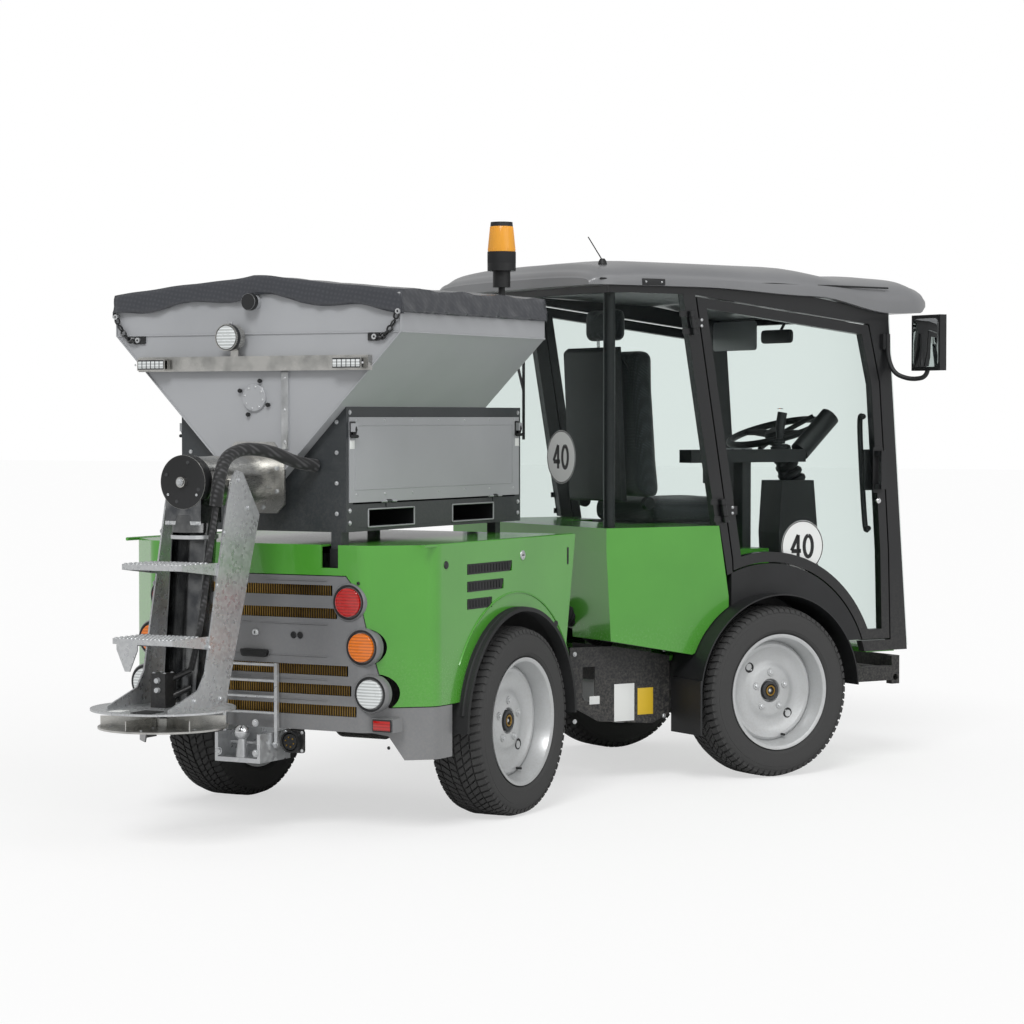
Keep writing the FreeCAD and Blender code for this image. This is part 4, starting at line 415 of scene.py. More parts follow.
# Hard chrome on the piston rod: a clean mirror.
CHROME = Finish("hard_chrome", "d9dadb", 0.08, 1.0)
# Yellow-passivated ring: dull gold.
BRASS = Brushed("brass_ring", "b08d4a", 0.35, 1.0, dark="8f6f35")
# Coated truck tarpaulin: plasticised, wet-looking creases over a faint scrim.
TARP = Woven("coated_tarpaulin", "3c3e43", 0.24, thread_mm=7.0, light="44464b", depth_mm=0.08, sheen=0.05)
# Polyamide braid: crossed bright threads. Thread drawn coarse enough to show.
BRAID = Woven("braided_sleeve", "0c0d0e", 0.62, thread_mm=7.0, light="444446", depth_mm=0.8)
# Woven seat cloth: soft, fuzzy edges to the light. Thread drawn coarse enough to show.
SEAT_CLOTH = Woven("seat_cloth", "1f2124", 0.85, thread_mm=5.0, light="34373b", depth_mm=0.4, sheen=0.4)
# Moulded lamp lenses: clear colour over ribs, with painted shade in the rib troughs and a faint painted glow.
RED_LENS = Coloured("red_lamp_lens", "b3140f", 0.15)
AMBER_LENS = Coloured("amber_lamp_lens", "e0730c", 0.15)
BEACON_LENS = Coloured("beacon_lens", "ee8a12", 0.12, painted_glow=0.3)
CLEAR_LENS = Coloured("clear_lamp_lens", "dfe3e3", 0.1, painted_glow=0.05)
# Toughened glass: almost clear with a green edge and a mirror skin.
GLASS = SafetyGlass("tinted_safety_glass", "f7faf9")
# Vinyl labels left bare.
WHITE_PLATE = Finish("blank_white_label", "e4e6e4", 0.5)
YELLOW_PLATE = Finish("blank_yellow_label", "d9b52c", 0.5)
# Black ink of the speed signs.
BLACK_INK = Finish("sign_black_ink", "111111", 0.45)
# Silvered glass.
MIRROR = Finish("mirror_glass", "e6e8e8", 0.03, 1.0)


# ---- Shaping ----
class Axis(Enum):
    """A main axis, with the turn that carries Z onto it."""

    X = Quaternion((0.0, 1.0, 0.0), math.pi / 2)
    Y = Quaternion((1.0, 0.0, 0.0), -math.pi / 2)
    Z = Quaternion((0.0, 0.0, 1.0), 0.0)


def frange(start: float, end: float, count: int) -> list[float]:
    """Evenly spaced values from start to end, both kept."""
    return [start + (end - start) * i / (count - 1) for i in range(count)]


def ring(centre: Point, radius: float, count: int, start: float = 0.0) -> list[tuple[float, float]]:
    """Points of a circle in a plane."""
    return [
        (
            centre[0] + radius * math.cos(start + math.tau * i / count), centre[1]
            + radius * math.sin(start + math.tau * i / count))
        for i in range(count)]


def smooth_path(points: Points, steps: int = 8) -> list[Vector]:
    """A Catmull-Rom curve through points.

    Args:
        points: The points that it passes.
        steps: Divisions of each run.

    Returns:
        The curve's points.
    """
    ends = [Vector(points[0]) * 2 - Vector(points[1])] + [Vector(p) for p in points]
    ends.append(Vector(points[-1]) * 2 - Vector(points[-2]))
    path = []
    for i in range(1, len(ends) - 2):
        a, b, c, d = ends[i - 1:i + 3]
        for k in range(steps):
            t = k / steps
            path.append(0.5 * (
                2 * b + (c - a) * t + (2 * a - 5 * b + 4 * c - d) * t * t
                + (3 * b - a - 3 * c + d) * t ** 3))
    path.append(Vector(points[-1]))
    return path


class Shape:
    """A mesh under construction, with a material for each part of it."""

    def __init__(self, name: str) -> None:
        """Start an empty mesh."""
        self.name = name
        self.mesh = bmesh.new()
        self.finishes: list[Finish] = []

    def paint(self, faces: Iterable[bmesh.types.BMFace], finish: Finish) -> None:
        """Give faces a finish."""
        if finish not in self.finishes:
            self.finishes.append(finish)
        index = self.finishes.index(finish)
        for face in faces:
            face.material_index = index

    def add(
        self, verts: Sequence[Point], faces: Sequence[Sequence[int]], finish: Finish, bevel: float = 0.0,
        segments: int = 2) -> "Shape":
        """Add faces, optionally with rounded edges.

        Args:
            verts: Corners.
            faces: Corner indices of each face.
            finish: Their finish.
            bevel: Radius of rounded edges, 0 for none.
            segments: Divisions of the rounding.

        Returns:
            This shape.
        """
        part = bmesh.new()
        made = [part.verts.new(v) for v in verts]
        for face in faces:
            part.faces.new([made[i] for i in face])
        bmesh.ops.recalc_face_normals(part, faces=part.faces)
        if bevel:
            sharp = [e for e in part.edges if e.is_manifold and e.calc_face_angle(0.0) > 0.4]
            bmesh.ops.bevel(
                part, geom=sharp, offset=bevel, segments=segments, profile=0.5, affect="EDGES",
                clamp_overlap=True)
        self.merge(part, finish)
        return self

    def merge(self, part: bmesh.types.BMesh, finish: Finish, matrix: Matrix = Matrix.Identity(4)) -> None:
        """Copy a bmesh into this one."""
        lookup = {v: self.mesh.verts.new(matrix @ v.co) for v in part.verts}
        faces = []
        for face in part.faces:
            faces.append(self.mesh.faces.new([lookup[v] for v in face.verts]))
        self.paint(faces, finish)
        part.free()

    def box(
        self, x: Point, y: Point, z: Point, finish: Finish, bevel: float = 0.002,
        segments: int = 2) -> "Shape":
        """A block with rounded edges.

        Args:
            x: Its range along X.
            y: Its range along Y.
            z: Its range along Z.
            finish: Its finish.
            bevel: Radius of its edges.
            segments: Divisions of the rounding.

        Returns:
            This shape.
        """
        verts = [(a, b, c) for a in x for b in y for c in z]
        return self.add(verts, BLOCK_FACES, finish, bevel, segments)

    def slab(
        self, outline: Sequence[tuple[float, float]], axis: Axis, start: float, end: float,
        finish: Finish, bevel: float = 0.001, segments: int = 2) -> "Shape":
        """An outline pushed along an axis.

        Args:
            outline: (Y, Z), (X, Z) or (X, Y) for the axes X, Y and Z.
            axis: Direction of the push.
            start: First plane.
            end: Last plane.
            finish: Its finish.
            bevel: Radius of rounded edges.
            segments: Divisions of the rounding.

        Returns:
            This shape.
        """
        def spot(p: Point, level: float) -> tuple[float, float, float]:
            """The outline's point on one plane."""
            return {
                Axis.X: (level, p[0], p[1]), Axis.Y: (p[0], level, p[1]),
                Axis.Z: (p[0], p[1], level)}[axis]
        count = len(outline)
        verts = [spot(p, start) for p in outline] + [spot(p, end) for p in outline]
        faces = [tuple(range(count)), tuple(range(2 * count - 1, count - 1, -1))]
        faces += [(i, (i + 1) % count, count + (i + 1) % count, count + i) for i in range(count)]
        return self.add(verts, faces, finish, bevel, segments)

    def lathe(
        self, profile: Sequence[tuple[float, float]], centre: Point, axis: Axis, finish: Finish,
        count: int = 32, closed: bool = False) -> "Shape":
        """Turn an (along, radius) profile about an axis.

        Args:
            profile: Points along the axis and out from it.
            centre: A point of the axis, where along is 0.
            axis: The axis.
            finish: Its finish.
            count: Divisions round.
            closed: True joins the profile's last point to its first, as in a ring.

        Returns:
            This shape.
        """
        part = bmesh.new()
        rows = []
        for along, radius in profile:
            if radius < 1e-6:
                rows.append([part.verts.new((0.0, 0.0, along))])
            else:
                rows.append([part.verts.new((x, y, along)) for x, y in ring((0.0, 0.0), radius, count)])
        pairs = list(zip(rows, rows[1:]))
        if closed:
            pairs.append((rows[-1], rows[0]))
        for low, high in pairs:
            for i in range(count):
                j = (i + 1) % count
                corners = [low[i % len(low)], low[j % len(low)], high[j % len(high)], high[i % len(high)]]
                unique = list(dict.fromkeys(corners))
                if len(unique) > 2:
                    part.faces.new(unique)
        for row in (rows[0], rows[-1]):
            if not closed and len(row) > 2:
                part.faces.new(row)
        bmesh.ops.recalc_face_normals(part, faces=part.faces)
        self.merge(part, finish, Matrix.Translation(Vector(centre)) @ axis.value.to_matrix().to_4x4())
        return self

    def rod(
        self, start: Point, end: Point, radius: float, finish: Finish, count: int = 20,
        rounded: float = 0.001) -> "Shape":
        """A round bar with chamfered ends.

        Args:
            start: Middle of its first end.
            end: Middle of its last end.
            radius: Its radius.
            finish: Its finish.
            count: Divisions round.
            rounded: Width of the chamfers.

        Returns:
            This shape.
        """
        a, b = Vector(start), Vector(end)
        length = (b - a).length
        turn = (b - a).to_track_quat("Z", "Y").to_matrix().to_4x4()
        soft = min(rounded, radius * 0.4, length * 0.3)
        part = Shape("part")
        part.lathe(
            [
                (0.0, 0.0), (0.0, radius - soft), (soft, radius), (length - soft, radius),
                (length, radius - soft), (length, 0.0)],
            (0.0, 0.0, 0.0), Axis.Z, finish, count)
        self.merge(part.mesh, finish, Matrix.Translation(a) @ turn)
        return self

    def tube(
        self, points: Points, radius: float, finish: Finish, count: int = 12, smooth: int = 0,
        swell: Optional[Callable[[float], float]] = None) -> "Shape":
        """A round tube along a path.

        Args:
            points: The route.
            radius: Its radius.
            finish: Its finish.
            count: Divisions round.
            smooth: Divisions of each run of a curve through the points; 0 keeps straight runs.
            swell: Radius factor by the distance along the route.

        Returns:
            This shape.
        """
        path = smooth_path(points, smooth) if smooth else [Vector(p) for p in points]
        part = bmesh.new()
        rows = []
        travelled = 0.0
        heading = (path[1] - path[0]).normalized()
        side = heading.orthogonal().normalized()
        for i, spot in enumerate(path):
            ahead = (path[min(i + 1, len(path) - 1)] - path[max(i - 1, 0)]).normalized()
            side = (side - ahead * side.dot(ahead)).normalized()
            up = ahead.cross(side)
            travelled += (spot - path[i - 1]).length if i else 0.0
            size = radius * (swell(travelled) if swell else 1.0)
            rows.append([part.verts.new(spot + side * x + up * y) for x, y in ring((0.0, 0.0), size, count)])
        for low, high in zip(rows, rows[1:]):
            for i in range(count):
                part.faces.new((low[i], low[(i + 1) % count], high[(i + 1) % count], high[i]))
        part.faces.new(rows[0])
        part.faces.new(rows[-1])
        bmesh.ops.recalc_face_normals(part, faces=part.faces)
        self.merge(part, finish)
        return self

    def bolt(
        self, spot: Point, axis: Axis, finish: Finish, size: float = 0.013, sign: float = 1.0) -> "Shape":
        """A hexagon bolt head with its washer.

        Args:
            spot: Where it meets the face.
            axis: The bolt's axis.
            finish: Its finish.
            size: Thread diameter.
            sign: Which way along the axis it stands.

        Returns:
            This shape.
        """
        washer = [(0.0, size * 0.72), (sign * 0.0016, size * 0.72), (sign * 0.0016, 0.0)]
        self.lathe(washer, spot, axis, finish, 20)
        head = [
            (sign * 0.0016, size * 0.55), (sign * size * 0.38, size * 0.55),
            (sign * size * 0.46, size * 0.44), (sign * size * 0.46, 0.0)]
        return self.lathe(head, spot, axis, finish, 6)

    def screw(
        self, spot: Point, axis: Axis, finish: Finish, size: float = 0.008, sign: float = 1.0) -> "Shape":
        """A dome screw head with a socket.

        Args:
            spot: Where it meets the face.
            axis: The screw's axis.
            finish: Its finish.
            size: Radius of the head.
            sign: Which way along the axis it stands.

        Returns:
            This shape.
        """
        dome = [
            (0.0, size), (sign * size * 0.25, size * 0.92), (sign * size * 0.5, size * 0.6),
            (sign * size * 0.52, size * 0.35), (sign * size * 0.2, size * 0.3), (sign * size * 0.2, 0.0)]
        return self.lathe(dome, spot, axis, finish, 14)

    def flip(self) -> "Shape":
        """Turn it into its mirror image across the section's middle plane."""
        bmesh.ops.scale(self.mesh, vec=(1.0, -1.0, 1.0), verts=self.mesh.verts)
        bmesh.ops.reverse_faces(self.mesh, faces=self.mesh.faces)
        return self

    def mirror(self) -> "Shape":
        """Add the mirror image across the section's middle plane."""
        made = bmesh.ops.duplicate(
            self.mesh, geom=list(self.mesh.verts) + list(self.mesh.edges) + list(self.mesh.faces))
        verts = [g for g in made["geom"] if isinstance(g, bmesh.types.BMVert)]
        faces = [g for g in made["geom"] if isinstance(g, bmesh.types.BMFace)]
        for vert in verts:
            vert.co.y = -vert.co.y
        bmesh.ops.reverse_faces(self.mesh, faces=faces)
        return self

    def triangles(self) -> int:
        """How many triangles it has."""
        return sum(len(face.verts) - 2 for face in self.mesh.faces)

    def make(
        self, section: Section, body: Optional[str] = None, slot: Optional[str] = None,
        smooth_angle: float = 35.0, subdivide: int = 0) -> bpy.types.Object:
        """Turn the mesh into a piece of the machine.

        Args:
            section: The half whose straight frame it was drawn in.
            body: The body that it rides on; the section's own by default.
            slot: The record's material slot; not used.
            smooth_angle: Edges under this many degrees are shaded smooth.
            subdivide: Levels of a subdivision surface.

        Returns:
            The piece.
        """
        data = bpy.data.meshes.new(self.name)
        self.mesh.to_mesh(data)
        LOG.info("%-28s %6d triangles", self.name, self.triangles())
        self.mesh.free()
        data.transform(section.matrix)
        for finish in self.finishes:
            data.materials.append(finish.build())
        piece = bpy.data.objects.new(self.name, data)
        bpy.context.scene.collection.objects.link(piece)
        data.polygons.foreach_set("use_smooth", [True] * len(data.polygons))
        data.set_sharp_from_angle(angle=math.radians(smooth_angle))
        if subdivide:
            surface = piece.modifiers.new("surface", "SUBSURF")
            surface.levels = subdivide
            surface.render_levels = subdivide
        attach(piece, body or section.value)
        return piece


def rounded_outline(corners: Sequence[tuple[float, float]], radius: float, steps: int = 5) -> list[tuple]:
    """An outline with each corner replaced by an arc-like curve.

    Args:
        corners: The sharp outline.
        radius: How far from a corner its curve starts.
        steps: Divisions of the curve.

    Returns:
        The rounded outline.
    """
    made = []
    count = len(corners)
    for i in range(count):
        corner = Vector(corners[i])
        before = Vector(corners[i - 1]) - corner
        after = Vector(corners[(i + 1) % count]) - corner
        start = corner + before.normalized() * min(radius, before.length * 0.45)
        end = corner + after.normalized() * min(radius, after.length * 0.45)
        for k in range(steps + 1):
            share = k / steps
            spot = start * (1 - share) ** 2 + corner * 2 * share * (1 - share) + end * share ** 2
            made.append((spot.x, spot.y))
    return made


def rounded_box(low: Point, high: Point, radius: float, steps: int = 5) -> list[tuple]:
    """The outline of an upright rectangle with rounded corners."""
    corners = [(low[0], low[1]), (high[0], low[1]), (high[0], high[1]), (low[0], high[1])]
    return rounded_outline(corners, radius, steps)


def dress(node: str, finish: Finish) -> None:
    """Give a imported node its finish."""
    data = frame["nodes"][node].data
    data.materials.clear()
    data.materials.append(finish.build())
    data.polygons.foreach_set("material_index", [0] * len(data.polygons))


# ---- Running gear ----
@dataclass
class Wheels:
    """The four tyres with their tread and the pressed-steel wheels."""

    radius: float = 0.325
    half_width: float = 0.1025
    track_half: float = 0.54
    flange: float = 0.2195
    disc_plane: float = 0.565
    front_x: float = 1.7975
    pitches: int = 72

    def carcass(self, shape: Shape, x: float) -> None:
        """The tyre's body with bead, sidewall rings and a rounded shoulder."""
        r = self.radius - 0.009
        side = [
            (0.088, 0.2055), (0.0885, 0.2215), (0.0945, 0.226), (0.099, 0.232), (0.0996, 0.2345),
            (0.1012, 0.236), (0.1018, 0.252), (0.1024, 0.262), (0.102, 0.272), (0.1003, 0.284),
            (0.099, 0.285), (0.0985, 0.289), (0.0955, 0.298), (0.0915, 0.305), (0.085, r - 0.004),
            (0.07, r - 0.0005), (0.04, r + 0.001)]
        profile = [(-a, rad) for a, rad in side] + [(a, rad) for a, rad in reversed(side)]
        shape.lathe(profile, (x, self.track_half, self.radius), Axis.Y, TYRE_RUBBER, 96, closed=True)

    def tread_block(
        self, shape: Shape, x: float, angle: float, across: tuple[float, float], sweep: float,
        length: float, top: float) -> None:
        """One tread block: a skewed bar that follows the tyre's curve.

        Args:
            shape: The tyre.
            x: The axle's place.
            angle: Turn of its inner end.
            across: Its inner and outer ends across the tyre.
            sweep: How far its outer end is turned on.
            length: Its size round the tyre.
            top: Radius of its face.
        """
        low = self.radius - 0.011
        verts = []
        for level in (low, top):
            for end, start_angle in ((across[0], angle), (across[1], angle + sweep)):
                drop = 0.01 * max(0.0, (abs(end) - 0.055) / 0.038) ** 2
                for share in (-0.5, 0.5):
                    spot = start_angle + share * length / self.radius
                    r = level - drop
                    verts.append(
                        (x + r * math.sin(spot), self.track_half + end, self.radius + r * math.cos(spot)))
        shape.add(verts, BLOCK_FACES, TYRE_RUBBER)

    def tread(self, shape: Shape, x: float) -> None:
        """A winter tread: two centre rows, two swept rows and shoulder lugs."""
        step = math.tau / self.pitches
        top = self.radius
        for i in range(self.pitches):
            angle = i * step
            for side in (-1.0, 1.0):
                self.tread_block(
                    shape, x, angle
                    + 0.5 * step * (side > 0), (side * 0.004, side * 0.026), 0.55 * step, 0.0215, top)
                self.tread_block(
                    shape, x, angle
                    + 0.25 * step, (side * 0.031, side * 0.059), 0.8 * step, 0.0205, top - 0.0003)
                self.tread_block(
                    shape, x, angle, (side * 0.064, side * 0.0925), 0.25 * step, 0.02, top - 0.001)
        self.shoulder(shape, x)

    def shoulder(self, shape: Shape, x: float) -> None:
        """Ribs that run from the shoulder lugs down the sidewall."""
        step = math.tau / self.pitches
        for i in range(self.pitches):
            for side in (-1.0, 1.0):
                verts = []
                for r, across, thick in (
                    (0.3125, 0.0905, 0.0), (0.3, 0.0975, 0.0), (0.3125, 0.0905, 0.0022),
                    (0.3, 0.0975, 0.0012)):
                    for share in (-0.35, 0.35):
                        spot = (i + 0.25 + share) * step
                        y = side * (across - 0.002 + thick)
                        verts.append((
                            x + (r + thick) * math.sin(spot), self.track_half
                            + y, self.radius + (r + thick) * math.cos(spot)))
                shape.add(verts, BLOCK_FACES, TYRE_RUBBER)

    def steel(self, shape: Shape, x: float) -> None:
        """Rim with stepped flange, dished disc, hub and nuts."""
        y = self.track_half
        out = self.half_width - 0.0066
        rim = [
            (-out, 0.213), (-out, self.flange), (-out + 0.004, self.flange), (-out + 0.007, 0.21),
            (-out + 0.022, 0.204), (-0.03, 0.196), (0.03, 0.196), (out - 0.022, 0.204),
            (out - 0.007, 0.21), (out - 0.004, self.flange), (out, self.flange), (out, 0.213),
            (out - 0.004, 0.206), (out - 0.022, 0.199), (0.034, 0.19), (-0.034, 0.19),
            (-out + 0.022, 0.199), (-out + 0.004, 0.206)]
        shape.lathe(rim, (x, y, self.radius), Axis.Y, SILVER, 96, closed=True)
        face = self.disc_plane - y
        disc = [
            (face - 0.006, 0.194), (face + 0.002, 0.192), (face + 0.01, 0.186), (face + 0.014, 0.178),
            (face + 0.013, 0.168), (face + 0.004, 0.156), (face - 0.002, 0.142), (face - 0.003, 0.118),
            (face + 0.0, 0.104), (face + 0.006, 0.096), (face + 0.009, 0.086), (face + 0.009, 0.046),
            (face + 0.004, 0.042), (face - 0.004, 0.04), (face - 0.004, 0.0)]
        shape.lathe(disc, (x, y, self.radius), Axis.Y, SILVER, 96)
        back = [(face - 0.01, 0.194), (face - 0.014, 0.15), (face - 0.014, 0.03), (face - 0.05, 0.03)]
        shape.lathe(back, (x, y, self.radius), Axis.Y, SILVER, 64)
        hub = [
            (face - 0.004, 0.036), (face + 0.012, 0.036), (face + 0.014, 0.034), (face + 0.014, 0.026),
            (face + 0.01, 0.024), (face + 0.006, 0.018), (face + 0.006, 0.0)]
        shape.lathe(hub, (x, y, self.radius), Axis.Y, CASTING, 40)
        shape.lathe(
            [(face + 0.009, 0.021), (face + 0.013, 0.02), (face + 0.013, 0.015), (face + 0.009, 0.014)],
            (x, y, self.radius), Axis.Y, BRASS, 32, closed=True)
        shape.bolt((x, y + face + 0.006, self.radius), Axis.Y, ZINC, 0.009)
        for dx, dz in ring((0.0, 0.0), 0.07, 5, math.radians(18.0)):
            spot = (x + dx, y + face + 0.008, self.radius + dz)
            shape.lathe([(0.0, 0.015), (0.006, 0.013), (0.006, 0.0)], spot, Axis.Y, SILVER, 20)
            shape.bolt((spot[0], spot[1] + 0.004, spot[2]), Axis.Y, ZINC, 0.0145)

    def hand_hole(self, shape: Shape, x: float) -> None:
        """Black dishes painted as the shade seen through the disc's oval holes, and the valve with its cap.
        """
        y = self.track_half
        face = self.disc_plane - y
        # Painted shade: a black dish fills each hole in place of an opening.
        for turn in (2.35, 5.5):
            cx = x + 0.128 * math.cos(turn)
            cz = self.radius + 0.128 * math.sin(turn)
            shape.lathe(
                [
                    (face - 0.0045, 0.0), (face - 0.0022, 0.015), (face - 0.0005, 0.0165),
                    (face - 0.0005, 0.019), (face - 0.004, 0.0205)],
                (cx, y, cz), Axis.Y, BLACK_PLASTIC, 28)
        cx = x + 0.176 * math.cos(5.0)
        cz = self.radius + 0.176 * math.sin(5.0)
        shape.rod((cx, y + face + 0.006, cz), (cx, y + face + 0.034, cz), 0.0045, BLACK_PLASTIC, 12)

    def build(self) -> None:
        """Make each tyre and each wheel as a piece of its own body."""
        for end, x, section in (("rear", 0.0, Section.REAR), ("front", self.front_x, Section.FRONT)):
            for side in ("left", "right"):
                tyre = Shape("tyre_%s_%s_tread" % (end, side))
                self.carcass(tyre, x)
                self.tread(tyre, x)
                wheel = Shape("steel_wheel_%s_%s" % (end, side))
                self.steel(wheel, x)
                self.hand_hole(wheel, x)
                for shape, slot, node in ((tyre, "tyre_rubber", "tyre"), (wheel, "silver_wheel", "rim")):
                    if side == "right":
                        shape.flip()
                    piece = shape.make(section, "wheel_%s_%s" % (end, side), slot, 30.0)
                    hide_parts("%s_%s_%s" % (node, end, side))


# ---- Hopper and its cover ----
@dataclass
class Tarpaulin:
    """The black sheet over the hopper: ridge, creases and a hanging skirt with a hem."""

    rear: float = -0.69
    front: float = 0.55
    cut_x: float = 0.285
    half: float = 0.563
    nose_half: float = 0.318
    rim: float = 1.77
    ridge: float = 1.825
    skirt: float = 0.072
    proud: float = 0.004

    def plan(self, x: float) -> float:
        """Half width of the hopper's rim at a place along it."""
        if x <= self.cut_x:
            return self.half
        return self.half + (self.nose_half - self.half) * (x - self.cut_x) / (self.front - self.cut_x)

    def roof(self, y: float) -> float:
        """Height of the tight sheet across the machine."""
        return self.ridge - (self.ridge - self.rim) * abs(y) / self.half

    def crease(self, x: float, y: float) -> float:
        """Soft folds: long wrinkles off the corners and a shallow sag between the gables."""
        wave = math.sin(x * 23.0 + y * 9.0 + 1.7 * math.sin(y * 7.0)) * 0.0032
        fine = math.sin(x * 61.0 - y * 34.0 + 2.0 * math.sin(x * 11.0)) * 0.001
        sag = -0.01 * math.sin(math.pi * min(1.0, max(0.0, (x - self.rear) / (self.front - self.rear))))
        return wave + fine + sag * (1.0 - (y / self.half) ** 2)

    def rows(self) -> list[list[Vector]]:
        """Points of the sheet from the rear hem over the hopper to the front hem."""
        made = []
        stations = frange(self.rear - self.proud, self.front + self.proud, 56)
        for x in stations:
            half = self.plan(min(max(x, self.rear), self.front)) + self.proud
            edge = self.roof(half) + self.proud
            row = []
            for share in frange(1.0, 0.0, 8)[:-1]:
                flare = 0.007 * share + 0.006 * share * math.sin(
                    x * 71.0 + 2.2 * math.sin(x * 17.0 + share * 3.0))
                row.append(Vector((x, -half - flare, edge - self.skirt * share)))
            for y in frange(-half, half, 49):
                row.append(Vector((x, y, self.roof(y) + self.proud + 0.003 + self.crease(x, y))))
            for share in frange(0.0, 1.0, 8)[1:]:
                flare = 0.007 * share + 0.006 * share * math.sin(
                    x * 67.0 + 2.0 * math.sin(x * 19.0 + share * 2.6))
                row.append(Vector((x, half + flare, edge - self.skirt * share)))
            made.append(row)
        return [self.end_flap(made[0], -1.0, share) for share in (1.0, 0.8, 0.6, 0.4, 0.2)] + made + [
            self.end_flap(made[-1], 1.0, share) for share in (0.2, 0.4, 0.6, 0.8, 1.0)]

    def end_flap(self, edge: list[Vector], sign: float, share: float) -> list[Vector]:
        """A row of the flap that hangs over an end, folded at its corners.

        Args:
            edge: The sheet's last row.
            sign: -1 at the rear, 1 at the front.
            share: How far down the flap the row lies.

        Returns:
            The row's points.
        """
        row = []
        for i, spot in enumerate(edge):
            inside = min(max(i, 7), len(edge) - 8)
            base = edge[inside]
            drop = self.skirt * share * (0.95 + 0.12 * math.sin(base.y * 19.0))
            lip = 0.003 + 0.007 * share * (
                1.0 + 0.7 * math.sin(base.y * 63.0 + 2.4 * math.sin(base.y * 13.0 + share * 3.0)))
            fold = Vector((sign * lip, 0.0, -drop))
            if inside != i:
                across = spot.y - base.y
                fold = Vector((sign * lip * 0.6, across, min(-drop, spot.z - base.z)))
            row.append(base + fold)
        return row

    def build(self) -> None:
        """The sheet with its thickness and hem."""
        shape = Shape("tarpaulin_sheet")
        rows = self.rows()
        verts = [tuple(p) for row in rows for p in row]
        width = len(rows[0])
        faces = []
        for i in range(len(rows) - 1):
            for j in range(width - 1):
                a = i * width + j
                faces.append((a, a + 1, a + width + 1, a + width))
        shape.add(verts, faces, TARP)
        bmesh.ops.remove_doubles(shape.mesh, verts=shape.mesh.verts, dist=0.0004)
        piece = shape.make(Section.REAR, None, "tarpaulin", 80.0)
        solid = piece.modifiers.new("thickness", "SOLIDIFY")
        solid.thickness = 0.0012
        solid.offset = 1.0
        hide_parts("hopper_tarp")


